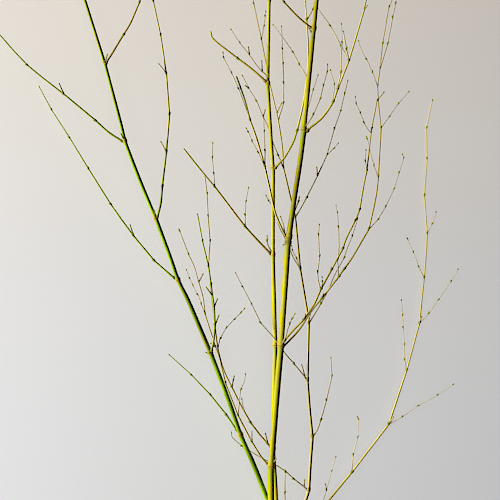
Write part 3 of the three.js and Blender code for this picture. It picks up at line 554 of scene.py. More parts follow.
class Shoot:
    """One cane, branch or twig: its smooth path, its nodes, and the rows of vertices along it."""

    def __init__(self, spec, parent, seed, colour):
        self.parent = parent
        self.seed = seed
        self.route = grown_route(spec, parent.route if parent else None)
        self.spots = [place(point) for point in self.route]
        self.nodes = [i for i, point in enumerate(self.route) if point["node"]]
        self.slim = self.route[0]["wide"] < SLIM
        self.flushes = YELLOW_FLUSHES if colour == "green" else GREEN_FLUSHES
        # Patches of painted shade and darker tone; a twig takes those of its shoot.
        self.dull = SHADE_AND_TONE_PATCHES.get(spec["name"], ()) if "name" in spec else parent.dull
        self.bends = []
        self.ways = {}
        self.trace()
        self.find_foot()
        if parent:
            parent.carry(self)

    def trace(self):
        """Straight internodes with a short bend at a node and a long one anywhere else."""
        path, marks = [self.spots[0]], [0]
        for i in range(1, len(self.spots) - 1):
            a, b, c = self.spots[i - 1:i + 2]
            before, after = b - a, c - b
            reach = SOFT_BEND * min(before.length, after.length)
            if self.route[i]["node"]:
                reach = min(reach, NODE_BEND * self.route[i]["wide"] * MM)
            start, end = b - before.normalized() * reach, b + after.normalized() * reach
            for step in range(BEND_STEPS + 1):
                t = step / BEND_STEPS
                path.append(start * (1 - t) ** 2 + b * 2 * t * (1 - t) + end * t ** 2)
            last = len(path) - 1
            marks.append(last - BEND_STEPS // 2)
            self.bends.append((last - BEND_STEPS, last))
        path.append(self.spots[-1])
        marks.append(len(path) - 1)
        self.path = path
        self.runs = running(path, lambda a, b: (b - a).length)
        self.stops = [self.runs[mark] for mark in marks]
        self.length = self.runs[-1]

    def point_at(self, run):
        i, share = stretch(self.runs, run)
        return self.path[i - 1].lerp(self.path[i], share)

    def radius_at(self, run):
        i, share = stretch(self.stops, run)
        return between(self.route[i - 1]["wide"], self.route[i]["wide"], share) / 2 * MM

    def find_foot(self):
        """How far along its path the shoot comes out of its parent's skin."""
        self.foot = 0.0
        if self.parent:
            route, spots = self.parent.route, self.parent.spots
            i, share = nearest_on(route, self.route[0]["x"], self.route[0]["y"])
            along = (spots[i] - spots[i - 1]).normalized()
            slope = (self.spots[1] - self.spots[0]).normalized().cross(along).length
            radius = between(route[i - 1]["wide"], route[i]["wide"], share) / 2
            self.foot = radius * MM / max(slope, LEAST_SLOPE)

    def carry(self, child):
        """Notes on which side of its nearest node a branch leaves, for the groove above it."""
        for i in self.nodes:
            if (self.spots[i] - child.spots[0]).length < NODE_REACH:
                along = (self.spots[min(i + 1, len(self.spots) - 1)] - self.spots[i]).normalized()
                way = child.spots[1] - child.spots[0]
                self.ways[i] = (way - along * way.dot(along)).normalized()

    def span(self, i):
        """The size that everything round a node is measured in."""
        return (SPAN_PER_WIDE * self.route[i]["wide"] + SPAN_LEAST) * MM

    def rows(self):
        """Runs at which the shoot has a row of vertices, close together where its shape changes."""
        runs = {0.0, self.length}
        for i in self.nodes:
            runs.update(self.stops[i] + row * self.span(i) for row in NODE_ROWS)
        if self.parent:
            runs.update(self.foot + row * self.radius_at(self.foot) for row in FOOT_ROWS)
        for start, end in self.bends:
            runs.update(self.runs[start:end + 1:2])
        tip = self.radius_at(self.length)
        first_tip = self.length - TIP_ROWS[-1][0] * tip
        kept = [0.0]
        for run in sorted(runs):
            if kept[-1] + SHORTEST_ROW < run < first_tip - SHORTEST_ROW:
                kept.append(run)
        kept.extend(self.length - row * tip for row, _ in reversed(TIP_ROWS))
        filled = [0.0]
        for run in kept[1:]:
            start = filled[-1]
            gaps = math.ceil((run - start) / LONGEST_ROW)
            filled.extend(start + (run - start) * k / gaps for k in range(1, gaps + 1))
        return filled

    def tip_share(self, run):
        """Rounds the end off."""
        left = (self.length - run) / self.radius_at(self.length)
        for (low, small), (high, large) in zip(TIP_ROWS, TIP_ROWS[1:]):
            if left <= high:
                return small + (large - small) * max(left - low, 0.0) / (high - low)
        return 1.0

    def facts(self, run):
        """What each vertex of the guide tells the tree and the skin."""
        spans, left = FAR, FAR
        groove, way = 0.0, Vector((0, 0, 0))
        for k, i in enumerate(self.nodes):
            past = run - self.stops[i]
            off = past / self.span(i)
            if abs(off) < abs(spans):
                spans = off
            if off < 0:
                left = min(left, -off)
            end = self.stops[self.nodes[k + 1]] if k + 1 < len(self.nodes) else self.length
            if i in self.ways and self.stops[i] < run < end:
                groove = max(1 - past / (GROOVE_REACH * (end - self.stops[i])), 0.0)
                way = self.ways[i]
        radius = self.radius_at(run)
        spot = plan(self.point_at(run))
        # Painted shade at a branch's foot, where it meets its parent, with its own dark sheath remnants.
        dark = FOOT_SHADE_AND_SHEATH * math.exp(-((run - self.foot) / FOOT_SHADE_AND_SHEATH_REACH) ** 2) if self.parent else 0.0
        return {
            "thick": radius * self.tip_share(run),
            "spans": spans,
            "apart": abs(spans),
            "left": left,
            "along": run + self.seed * GRAIN_STEP,
            "foot": (run - self.foot) / radius if self.parent else FAR,
            "slim": float(self.slim),
            "stout": float(self.route[0]["wide"] > STOUT),
            "flush": strongest(self.flushes, *spot),
            # Painted shade and darker tone from the patches, with the painted shade at a branch's foot.
            "dull": max(strongest(self.dull, *spot), dark),
            "groove": groove,
            "way": way,
            "bud": 0.0,
        }

    def buds(self):
        """Place, direction and length of each bud: beside the nodes that carry no branch, and at the tip."""
        found = []
        for k, i in enumerate(self.nodes):
            if i in self.ways or self.stops[i] > self.length - BUD_FREE_TIP:
                continue
            along = (self.spots[i + 1] - self.spots[i]).normalized()
            side = along.cross(UP).normalized() * (1 if (k + int(self.seed)) % 2 else -1)
            side = (side + UP * BUD_LEAN).normalized()
            foot = self.spots[i] + along * self.span(i) * BUD_ABOVE
            foot += side * self.radius_at(self.stops[i]) * BUD_OUT
            least, more = SLIM_BUD if self.slim else STOUT_BUD
            found.append((foot, along + side * BUD_LEAN, (least + more * self.route[i]["wide"]) * MM))
        if self.parent:
            along = (self.spots[-1] - self.spots[-2]).normalized()
            length = min(TIP_BUD, SHORT_TIP_BUD * self.length)
            found.append((self.spots[-1] - along * BUD_SUNK * length, along, length))
        return found


def grow_all():
    """Every shoot with its own twigs, by name. Parents come first."""
    grown = {}
    for seed, spec in enumerate(SHOOTS):
        parent = grown[spec["parent"]][0] if spec["parent"] else None
        main = Shoot(spec, parent, seed, spec["colour"])
        twigs = [Shoot(side, main, seed + TWIG_STEP * (k + 1), spec["colour"])
                 for k, side in enumerate(spec["twigs"])]
        grown[spec["name"]] = [main, *twigs]
    return grown


SPRIG = grow_all()


def guide_mesh(name, shoots):
    """A chain of edges for each shoot, with its facts as attributes."""
    points, edges, facts = [], [], []
    for one in shoots:
        start = len(points)
        for run in one.rows():
            points.append(one.point_at(run))
            facts.append(one.facts(run))
        edges.extend((i, i + 1) for i in range(start, len(points) - 1))
    for one in shoots:
        for spot, way, length in one.buds():
            points.append(spot)
            facts.append({**facts[0], "way": way, "bud": length})
    mesh = bpy.data.meshes.new(name)
    mesh.from_pydata(points, edges, [])
    for key, value in facts[0].items():
        if isinstance(value, Vector):
            layer = mesh.attributes.new(key, "FLOAT_VECTOR", "POINT")
            layer.data.foreach_set("vector", [c for fact in facts for c in fact[key]])
        else:
            layer = mesh.attributes.new(key, "FLOAT", "POINT")
            layer.data.foreach_set("value", [fact[key] for fact in facts])
    return mesh


class Graph:
    """Adds nodes to a tree, each fed with values or with other nodes' outputs."""

    def __init__(self, tree):
        self.tree = tree

    def feed(self, socket, value):
        if isinstance(value, bpy.types.NodeSocket):
            self.tree.links.new(value, socket)
        else:
            socket.default_value = value

    def add(self, kind, inputs=None, **settings):
        made = self.tree.nodes.new(kind)
        for key, value in settings.items():
            setattr(made, key, value)
        for key, value in (inputs or {}).items():
            self.feed(made.inputs[key], value)
        return made

    def math(self, operation, *values, clamp=False):
        made = self.add("ShaderNodeMath", dict(enumerate(values)), operation=operation, use_clamp=clamp)
        return made.outputs[0]

    def times(self, a, b, clamp=False):
        return self.math("MULTIPLY", a, b, clamp=clamp)

    def minus(self, a, b, clamp=False):
        return self.math("SUBTRACT", a, b, clamp=clamp)

    def total(self, first, *others):
        for other in others:
            first = self.math("ADD", first, other)
        return first

    def vector(self, operation, *values, out=0):
        made = self.add("ShaderNodeVectorMath", dict(enumerate(values)), operation=operation)
        return made.outputs[out]

    def scaled(self, vector, factor):
        made = self.add("ShaderNodeVectorMath", {0: vector, "Scale": factor}, operation="SCALE")
        return made.outputs[0]

    def hill(self, x, centre, width):
        """1 at the centre, gone at about twice the width from it."""
        off = self.math("DIVIDE", self.minus(x, centre), width)
        return self.math("EXPONENT", self.times(self.times(off, off), -1.0))

    def ramp(self, x, low, high):
        """0 below low, 1 above high."""
        made = self.add("ShaderNodeMapRange", {"Value": x, "From Min": low, "From Max": high},
                        interpolation_type="SMOOTHSTEP")
        return made.outputs["Result"]

    def mix(self, share, a, b):
        made = self.add("ShaderNodeMix", data_type="RGBA")
        for socket, value in zip((made.inputs[0], made.inputs[6], made.inputs[7]), (share, a, b)):
            self.feed(socket, value)
        return made.outputs[2]

    def noise(self, vector, scale=1.0, detail=3.0, roughness=0.55):
        made = self.add("ShaderNodeTexNoise", {
            "Vector": vector, "Scale": scale, "Detail": detail, "Roughness": roughness})
        return made.outputs["Fac"]

    def object_place(self):
        return self.add("ShaderNodeTexCoord").outputs["Object"]

    def attribute(self, name, out="Fac"):
        return self.add("ShaderNodeAttribute", attribute_name=name).outputs[out]

    def bump(self, shader, strength, depth, height):
        made = self.add("ShaderNodeBump", {"Strength": strength, "Distance": depth, "Height": height})
        self.feed(shader["Normal"], made.outputs[0])


def new_tree(name, kind, inputs, outputs):
    """A node group with named sockets: inputs with their type and default, outputs with their type."""
    tree = bpy.data.node_groups.new(name, kind)
    for key, (socket, default) in inputs.items():
        made = tree.interface.new_socket(key, in_out="INPUT", socket_type="NodeSocket" + socket)
        if default is not None:
            made.default_value = default
    for key, socket in outputs.items():
        tree.interface.new_socket(key, in_out="OUTPUT", socket_type="NodeSocket" + socket)
    graph = Graph(tree)
    return graph, graph.add("NodeGroupInput").outputs, graph.add("NodeGroupOutput").inputs


def new_material(name):
    """A material with what adds nodes to it and the inputs of its shader."""
    material = bpy.data.materials.new(name)
    material.use_nodes = True
    return material, Graph(material.node_tree), material.node_tree.nodes["Principled BSDF"].inputs


def rgba(colour):
    return (*colour, 1.0)


# Centre and width of each form round a node, in node spans, and of the collar round a foot, in radii.
SCAR_FORM = (0.0, 0.26)
RIDGE_FORM = (1.15, 0.8)
FLARE_FORM = (0.3, 2.2)
COLLAR_FORM = (0.5, 1.1)
# The flare's share of the radius, and the sheath rings on a collar: places, width and share of its height.
FLARE = 0.07
COLLAR_RINGS = (0.8, 1.6, 2.6)
RING_WIDTH = 0.22
RING_SHARE = 0.45
# How squarely a face has to look along the branch for the groove to start on it and to be full.
GROOVE_START = 0.45
GROOVE_FULL = 1.0
# Unevenness of the skin: its scale round a shoot, and along it for each metre.
WAVE_SCALE = 0.9
DRIFT_SCALE = 40.0


def shoot_tree(sizes):
    """Turns chains of edges into jointed tubes, and lone points into buds."""
    graph, given, result = new_tree("Bamboo Shoots", "GeometryNodeTree", {
        "Geometry": ("Geometry", None),
        "Cane Sides": ("Int", sizes.cane_sides),
        "Twig Sides": ("Int", sizes.twig_sides),
        "Scar": ("Float", sizes.scar),
        "Ridge": ("Float", sizes.ridge),
        "Lip": ("Float", sizes.lip),
        "Collar": ("Float", sizes.collar),
        "Groove": ("Float", sizes.groove),
        "Wobble": ("Float", sizes.wobble),
        "Bud": ("Object", None),
        "Skin": ("Material", None),
    }, {"Geometry": "Geometry"})

    def named(name, kind="FLOAT"):
        made = graph.add("GeometryNodeInputNamedAttribute", {"Name": name}, data_type=kind)
        return made.outputs["Attribute"]

    def stored(geometry, name, value):
        return graph.add("GeometryNodeStoreNamedAttribute", {
            "Geometry": geometry, "Name": name, "Value": value,
        }, data_type="FLOAT_VECTOR", domain="POINT").outputs[0]

    def joined(*parts):
        join = graph.add("GeometryNodeJoinGeometry")
        for part in parts:
            graph.tree.links.new(part, join.inputs[0])
        return join.outputs[0]

    thick, spans, foot = named("thick"), named("spans"), named("foot")
    scar, ridge = graph.hill(spans, *SCAR_FORM), graph.hill(spans, *RIDGE_FORM)
    rings = graph.total(*(graph.hill(foot, ring, RING_WIDTH) for ring in COLLAR_RINGS))
    share = graph.total(
        1.0,
        graph.times(scar, given["Scar"]),
        graph.times(ridge, given["Ridge"]),
        graph.times(graph.hill(spans, *FLARE_FORM), FLARE),
        graph.times(graph.hill(foot, *COLLAR_FORM), given["Collar"]),
        graph.times(rings, graph.times(given["Collar"], RING_SHARE)),
    )
    lip = graph.times(graph.math("MAXIMUM", scar, ridge), given["Lip"])
    radius = graph.total(graph.times(thick, share), lip)

    curve = graph.add("GeometryNodeMeshToCurve", {"Mesh": given["Geometry"]}).outputs["Curve"]
    stout = graph.math("GREATER_THAN", named("stout"), 0.5)
    parted = graph.add("GeometryNodeSeparateGeometry", {
        "Geometry": curve, "Selection": stout}, domain="CURVE").outputs
    tubes = []
    for part, sides in (("Selection", "Cane Sides"), ("Inverted", "Twig Sides")):
        circle = graph.add("GeometryNodeCurvePrimitiveCircle", {"Resolution": given[sides], "Radius": 1.0})
        rim = stored(circle.outputs["Curve"], "rim", graph.add("GeometryNodeInputPosition").outputs[0])
        tube = graph.add("GeometryNodeCurveToMesh", {
            "Curve": parted[part], "Profile Curve": rim, "Scale": radius, "Fill Caps": True})
        tubes.append(tube.outputs["Mesh"])

    normal = graph.add("GeometryNodeInputNormal").outputs["Normal"]
    rim, way = named("rim", "FLOAT_VECTOR"), named("way", "FLOAT_VECTOR")
    facing = graph.ramp(graph.vector("DOT_PRODUCT", normal, way, out=1), GROOVE_START, GROOVE_FULL)
    dip = graph.times(graph.times(facing, named("groove")), given["Groove"])
    wave = graph.minus(graph.noise(rim, WAVE_SCALE), 0.5)
    drift = graph.add("ShaderNodeTexNoise", {
        "W": graph.times(named("along"), DRIFT_SCALE), "Scale": 1.0, "Detail": 2.0,
    }, noise_dimensions="1D").outputs["Fac"]
    swell = graph.total(wave, graph.minus(drift, 0.5))
    push = graph.times(graph.minus(graph.times(swell, given["Wobble"]), dip), thick)
    shaped = graph.add("GeometryNodeSetPosition", {
        "Geometry": joined(*tubes), "Offset": graph.scaled(normal, push)}).outputs[0]

    lengthwise = graph.add("ShaderNodeCombineXYZ", {"Z": named("along")}).outputs[0]
    straight = stored(shaped, "straight", graph.vector("ADD", graph.scaled(rim, thick), lengthwise))

    bud = graph.add("GeometryNodeObjectInfo", {"Object": given["Bud"]}).outputs["Geometry"]
    turn = graph.add("FunctionNodeAlignRotationToVector", {"Vector": way}, axis="Z")
    buds = graph.add("GeometryNodeInstanceOnPoints", {
        "Points": given["Geometry"],
        "Selection": graph.math("GREATER_THAN", named("bud"), 0.0),
        "Instance": bud,
        "Rotation": turn.outputs[0],
        "Scale": named("bud"),
    }).outputs[0]
    smooth = graph.add("GeometryNodeSetShadeSmooth", {"Geometry": joined(buds, straight)}).outputs[0]
    real = graph.add("GeometryNodeRealizeInstances", {"Geometry": smooth}).outputs[0]
    dressed = graph.add("GeometryNodeSetMaterial", {"Geometry": real, "Material": given["Skin"]}).outputs[0]
    graph.feed(result["Geometry"], dressed)
    return graph.tree


# The blotches are longer than wide, and the flecks are smaller ones of them.
BLOTCH_STRETCH = (1.0, 1.0, 0.35)
FLECK_STRETCH = (9.0, 9.0, 3.5)
# Where the noise starts to count as a blotch or a fleck, and where it fully does.
BLOTCH_EDGE = (0.35, 0.68)
FLECK_EDGE = (0.66, 0.74)


def grain_group(sizes):
    """Fibres that run along a shoot, and slow blotches."""
    graph, given, result = new_tree("Long Grain", "ShaderNodeTree", {
        "Fibre Width": ("Float", sizes.fibre_width),
        "Fibre Length": ("Float", sizes.fibre_length),
        "Blotch Size": ("Float", sizes.blotch_size),
    }, {"Fibre": "Float", "Blotch": "Float", "Fleck": "Float"})
    straight = graph.attribute("straight", "Vector")
    across = graph.math("DIVIDE", 1.0, given["Fibre Width"])
    lengthwise = graph.math("DIVIDE", 1.0, given["Fibre Length"])
    fine = graph.add("ShaderNodeCombineXYZ", {"X": across, "Y": across, "Z": lengthwise}).outputs[0]
    fibre = graph.noise(graph.vector("MULTIPLY", straight, fine), detail=4.0, roughness=0.6)
    graph.feed(result["Fibre"], fibre)
    slow = graph.scaled(straight, graph.math("DIVIDE", 1.0, given["Blotch Size"]))
    blotch = graph.noise(graph.vector("MULTIPLY", slow, BLOTCH_STRETCH), roughness=0.6)
    graph.feed(result["Blotch"], graph.ramp(blotch, *BLOTCH_EDGE))
    fleck = graph.noise(graph.vector("MULTIPLY", slow, FLECK_STRETCH), detail=2.0, roughness=0.5)
    graph.feed(result["Fleck"], graph.ramp(fleck, *FLECK_EDGE))
    return graph.tree


# Centre and width of the bands of colour round a node, in spans, and of the collar, in radii.
BANDS = (("Scar", 0.0, 0.4), ("Line", 0.5, 0.2), ("Ridge", 1.2, 1.0))
COLLAR_BAND = (0.4, 1.6)
# Past this many spans nothing belongs to a node, so that the skin between two nodes stays clear of both.
BAND_REACH = 3.2
# Where the waxy length below a node starts to fade and ends, and the same for all that is near a node.
WAX_FADE = (1.5, 9.0)
NEAR_FADE = (1.2, 2.4)
NEAR_CENTRE = 0.3
# How many times more the wax's edge wavers than the bands do, and the size of that unevenness.
WAX_WAVER = 8.0
WAVER_STRETCH = (500.0, 500.0, 120.0)


def node_group():
    """Masks of what stands round a node: scar, dark line (partly painted shade in the groove), ridge, the
    waxy length below, and all near it.
    """
    graph, given, result = new_tree("Node Bands", "ShaderNodeTree", {"Unevenness": ("Float", 0.5)}, {
        key: "Float" for key in ("Scar", "Line", "Ridge", "Below", "Near", "Collar")})
    slow = graph.vector("MULTIPLY", graph.attribute("straight", "Vector"), WAVER_STRETCH)
    shift = graph.times(graph.minus(graph.noise(slow, detail=2.0), 0.5), given["Unevenness"])
    spans = graph.total(graph.attribute("spans"), shift)
    close = graph.math("LESS_THAN", graph.attribute("apart"), BAND_REACH)
    for name, centre, width in BANDS:
        graph.feed(result[name], graph.times(close, graph.hill(spans, centre, width)))
    left = graph.minus(graph.attribute("left"), graph.times(shift, WAX_WAVER))
    graph.feed(result["Below"], graph.minus(1.0, graph.ramp(left, *WAX_FADE)))
    far = graph.math("ABSOLUTE", graph.minus(spans, NEAR_CENTRE))
    graph.feed(result["Near"], graph.times(close, graph.minus(1.0, graph.ramp(far, *NEAR_FADE))))
    graph.feed(result["Collar"], graph.hill(graph.attribute("foot"), *COLLAR_BAND))
    return graph.tree


# How well each mark covers the skin under it.
COVER = {
    "blotch": 0.55, "flush": 0.62, "dry": 0.86, "fibre": 0.9, "fleck": 0.45, "ridge": 0.7, "scar": 0.8,
    "node": 0.75, "line": 0.5, "collar": 0.5,
}
# Fibres above this value show. A twig under the first radius shows dark nodes, one over the second doesn't.
FIBRE_START = 0.35
FINE_RADII = (1.2 * MM, 2.3 * MM)
# How the blotches break up a flush's edge and the dark of a node.
FLUSH_BREAK = (-0.3, 0.9)
NODE_BREAK = (-0.4, 0.5)
# The share of its wax that a thin twig lacks, and what a place of painted shade and darker tone leaves of
# red, green and blue.
WAX_LOST = 0.8
SHADE_AND_TONE_SHARE = (0.3, 0.27, 0.25)
# Buds are green or brown by where they are: scale of the change, and its edge.
BUD_CHANGE = 70.0
BUD_EDGE = (0.45, 0.62)
# Roughness of bare skin and what else adds to it, then gloss, sheen and the relief of the grain.
ROUGH = {"skin": 0.36, "fibre": 0.18, "node": 0.14, "slim": 0.12}
GLOSS = 0.15
SHEEN = 0.05
RELIEF = {"fibre": 0.5, "blotch": 0.3, "line": -0.8}
RELIEF_STRENGTH = 0.5
RELIEF_DEPTH = 0.12 * MM


def skin(colour, name, waxy, colours, groups):
    """The skin of one kind of shoot, from a fresh culm to a dry twig."""
    material, graph, shader = new_material(name)
    grain, band = (graph.add("ShaderNodeGroup", node_tree=groups[key]).outputs for key in ("grain", "node"))
    slim, flush = graph.attribute("slim"), graph.attribute("flush")
    body, deep, dry = (rgba(getattr(colours, colour + part)) for part in ("", "_deep", "_twig"))
    flushed = colours.yellow_flush if colour in {"green", "olive"} else colours.flush

    edge = graph.times(flush, graph.ramp(grain["Blotch"], *FLUSH_BREAK))
    fine = graph.minus(1.0, graph.ramp(graph.attribute("thick"), *FINE_RADII))
    dark = graph.times(fine, graph.times(band["Near"], graph.ramp(grain["Blotch"], *NODE_BREAK)))
    wax = graph.times(band["Below"], graph.math("MULTIPLY_ADD", slim, -WAX_LOST * waxy, waxy))
    fibre = graph.times(graph.minus(grain["Fibre"], FIBRE_START, clamp=True), COVER["fibre"])
    tone = body
    for share, over in (
        (graph.times(grain["Blotch"], COVER["blotch"]), deep),
        (graph.times(graph.total(edge, flush), COVER["flush"], clamp=True), rgba(flushed)),
        (graph.times(slim, COVER["dry"]), dry),
        (fibre, deep),
        (graph.times(grain["Fleck"], COVER["fleck"]), rgba(colours.line)),
        (wax, rgba(colours.below)),
        (graph.times(band["Ridge"], COVER["ridge"]), rgba(colours.ridge)),
        (graph.times(band["Scar"], COVER["scar"]), rgba(colours.scar)),
        (graph.times(dark, COVER["node"]), rgba(colours.twig_node)),
        # The dark line between scar and ridge: partly the node's own dark line, partly painted shade in the
        # groove there.
        (graph.times(band["Line"], COVER["line"]), rgba(colours.line)),
        # A dark band at the foot of a branch: partly its own sheath remnants, partly painted shade where it
        # meets its parent.
        (graph.times(band["Collar"], COVER["collar"]), rgba(colours.collar)),
    ):
        tone = graph.mix(share, tone, over)
    # Painted shade and darker tone: the patches and the feet of branches are multiplied darker.
    tone = graph.mix(graph.attribute("dull"), tone, graph.vector("MULTIPLY", tone, SHADE_AND_TONE_SHARE))
    green = graph.ramp(graph.noise(graph.object_place(), BUD_CHANGE, detail=2.0), *BUD_EDGE)
    scales = graph.mix(green, rgba(colours.bud), rgba(colours.bud_green))
    graph.feed(shader["Base Color"], graph.mix(graph.attribute("budding"), tone, scales))

    graph.feed(shader["Roughness"], graph.total(
        ROUGH["skin"], graph.times(grain["Fibre"], ROUGH["fibre"]),
        graph.times(band["Near"], ROUGH["node"]), graph.times(slim, ROUGH["slim"])))
    shader["Specular IOR Level"].default_value = GLOSS
    shader["Sheen Weight"].default_value = SHEEN
    graph.bump(shader, RELIEF_STRENGTH, RELIEF_DEPTH, graph.total(
        graph.times(grain["Fibre"], RELIEF["fibre"]), graph.times(grain["Blotch"], RELIEF["blotch"]),
        graph.times(band["Line"], RELIEF["line"])))
    return material


# The fibre bundles of sawn bamboo: dots to the metre, the way they are drawn out, the edge of a dot, and how
# well it covers the straw, whose own colour changes at the last scale.
BUNDLES = 1900.0
BUNDLE_STRETCH = (1.0, 0.15, 1.0)
BUNDLE_EDGE = (0.12, 0.42)
BUNDLE_COVER = 0.7
STRAW_CHANGE = 300.0
# Roughness of the straw and what a bundle adds, and the strength and depth of the bundles' relief.
CUT_ROUGH = (0.7, 0.15)
CUT_RELIEF = (0.4, 0.1 * MM)


def cut_face(colours):
    """Sawn bamboo: pale straw with the dots of its fibre bundles."""
    material, graph, shader = new_material("Cut Face")
    spot = graph.object_place()
    flat = graph.vector("MULTIPLY", spot, BUNDLE_STRETCH)
    dots = graph.add("ShaderNodeTexVoronoi", {"Vector": flat, "Scale": BUNDLES}).outputs["Distance"]
    bundles = graph.minus(1.0, graph.ramp(dots, *BUNDLE_EDGE))
    straw = graph.mix(graph.noise(spot, STRAW_CHANGE), rgba(colours.cut), rgba(colours.tan_twig))
    tone = graph.mix(graph.times(bundles, BUNDLE_COVER), straw, rgba(colours.ridge))
    graph.feed(shader["Base Color"], tone)
    straw_rough, more = CUT_ROUGH
    graph.feed(shader["Roughness"], graph.total(straw_rough, graph.times(bundles, more)))
    graph.bump(shader, *CUT_RELIEF, bundles)
    return material


# Rows of a bud one unit long: height and radius, with two scales that overlap low on it.
BUD_ROWS = (
    (0, 0.1), (0.08, 0.24), (0.25, 0.33), (0.34, 0.27), (0.42, 0.31), (0.62, 0.24), (0.82, 0.12),
    (0.95, 0.04),
)


def bud_object(sides):
    """A pointed bud one unit long."""
    mesh = bpy.data.meshes.new("bud")
    form = bmesh.new()
    turns = [math.tau * k / sides for k in range(sides)]
    rings = [[form.verts.new((radius * math.cos(t), radius * math.sin(t), height)) for t in turns]
             for height, radius in BUD_ROWS]
    for low, high in zip(rings, rings[1:]):
        for k in range(sides):
            form.faces.new((low[k], low[(k + 1) % sides], high[(k + 1) % sides], high[k]))
    form.faces.new(reversed(rings[0]))
    form.faces.new(rings[-1])
    form.to_mesh(mesh)
    form.free()
    mark = mesh.attributes.new("budding", "FLOAT", "POINT")
    mark.data.foreach_set("value", [1.0] * len(mesh.vertices))
    return bpy.data.objects.new("bud", mesh)


# The bore of the culm's cut end, and how far past its depth and radius its faces are looked for.
BORE_RADIUS = 4.1 * MM
BORE_DEPTH = 34 * MM
PAST_DEPTH = 1.05
PAST_RADIUS = 1.02
# Slots of the culm's materials: its skin comes first.
CUT_SLOT = 1


def saw_end(mesh, culm):
    """Opens the cut end of the culm: a ring of wall round the hollow."""
    middle = culm.path[0]
    along = (culm.path[1] - middle).normalized()
    form = bmesh.new()
    form.from_mesh(mesh)
    form.faces.ensure_lookup_table()
    cap = min(form.faces, key=lambda face: (face.calc_center_median() - middle).length)
    wall = culm.radius_at(0.0) - BORE_RADIUS
    ring = bmesh.ops.inset_individual(form, faces=[cap], thickness=wall, use_even_offset=True)["faces"]
    tube = bmesh.ops.extrude_face_region(form, geom=[cap])["geom"]
    rim = [vertex for vertex in tube if isinstance(vertex, bmesh.types.BMVert)]
    bmesh.ops.translate(form, verts=rim, vec=along * BORE_DEPTH)
    bmesh.ops.delete(form, geom=[cap], context="FACES_ONLY")
    for face in ring:
        face.material_index = CUT_SLOT
        face.smooth = False
    for face in form.faces:
        off = face.calc_center_median() - middle
        beside = (off - along * off.dot(along)).length
        if off.length < BORE_DEPTH * PAST_DEPTH and beside < BORE_RADIUS * PAST_RADIUS:
            face.material_index = CUT_SLOT
    form.to_mesh(mesh)
    form.free()


# Names of the skins, and how strong the waxy length below their nodes is.
SKINS = {
    "yellow": ("Yellow Culm", 0.5),
    "green": ("Green Cane", 0.35),
    "olive": ("Olive Branch", 0.35),
    "golden": ("Golden Cane", 0.12),
    "brown": ("Brown Branch", 0.45),
    "tan": ("Tan Twig", 0.3),
}
# The tree, the skins, the cut face and the bud, which the first piece makes for all of them.
SHARED = {}


def common(sizes, colours):
    """What all pieces share, made once."""
    if not SHARED:
        groups = {"grain": grain_group(sizes), "node": node_group()}
        SHARED["skins"] = {key: skin(key, *look, colours, groups) for key, look in SKINS.items()}
        SHARED["cut"] = cut_face(colours)
        SHARED["tree"] = shoot_tree(sizes)
        SHARED["bud"] = bud_object(sizes.bud_sides)
    return SHARED


def grow_piece(context, spec):
    """Runs the tree over the guide of one CAD node's shoots and puts the plain mesh in its place."""
    sizes = context.scene.sprig_sizes
    shared = common(sizes, context.scene.sprig_colours)
    name, look = spec["name"], shared["skins"][spec["skin"]]
    shoots = SPRIG[name]
    guide = bpy.data.objects.new(name + "_guide", guide_mesh(name + "_guide", shoots))
    context.collection.objects.link(guide)
    modifier = guide.modifiers.new("Shoots", "NODES")
    modifier.node_group = shared["tree"]
    inputs = {
        "Cane Sides": sizes.cane_sides, "Twig Sides": sizes.twig_sides, "Bud": shared["bud"], "Skin": look,
    }
    for item in shared["tree"].interface.items_tree:
        if item.in_out == "INPUT" and item.name in inputs:
            modifier[item.identifier] = inputs[item.name]
    evaluated = guide.evaluated_get(context.evaluated_depsgraph_get())
    mesh = bpy.data.meshes.new_from_object(evaluated)
    guide.modifiers.remove(modifier)
    bpy.data.objects.remove(guide)
    if not mesh.polygons:
        raise RuntimeError(f"{name} came out empty")
    # The tree leaves an empty slot before its material.
    mesh.materials.clear()
    mesh.materials.append(look)
    mesh.polygons.foreach_set("material_index", [0] * len(mesh.polygons))
    if not spec["parent"]:
        mesh.materials.append(shared["cut"])
        saw_end(mesh, shoots[0])
    mesh.name = name + GROWN
    piece = bpy.data.objects.new(name + GROWN, mesh)
    context.collection.objects.link(piece)
    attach(piece, "root")
    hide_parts(name)


def number_field(name, description, default, **settings):
    return FloatProperty(name=name, description=description, default=default, **settings)


def count_field(name, description, default, least):
    return IntProperty(name=name, description=description, default=default, min=least)


def length_field(name, description, millimetres):
    return number_field(name, description, millimetres * MM, unit="LENGTH", precision=5)


def angle_field(name, description, degrees):
    return number_field(name, description, math.radians(degrees), subtype="ANGLE")


def power_field(name, description, watts):
    return number_field(name, description, watts, unit="POWER")


def colour_field(name, description, *default):
    return FloatVectorProperty(name=name, description=description, subtype="COLOR", size=3, min=0, max=1,
                               default=default)


class SprigSizes(bpy.types.PropertyGroup):
    """Sizes of the surface detail. Heights are shares of a shoot's radius."""

    cane_sides: count_field("Cane Sides", "Faces round a cane or branch", 20, 8)
    twig_sides: count_field("Twig Sides", "Faces round a twig", 10, 6)
    bud_sides: count_field("Bud Sides", "Faces round a bud", 7, 5)
    scar: number_field("Sheath Scar", "Height of the sharp rim at a node", 0.12)
    ridge: number_field("Node Ridge", "Height of the swelling above the scar", 0.16)
    lip: length_field("Least Swelling", "What a node has beyond its share", 0.42)
    collar: number_field("Collar", "Swelling where a branch starts", 0.38)
    groove: number_field("Groove", "Depth of the groove above a branch", 0.15)
    wobble: number_field("Wobble", "Unevenness of the skin", 0.05)
    fibre_width: length_field("Fibre Width", "Width of the grain across a shoot", 0.7)
    fibre_length: length_field("Fibre Length", "Length of the grain along a shoot", 22)
    blotch_size: length_field("Blotch Size", "Reach of the slow changes of colour", 9)


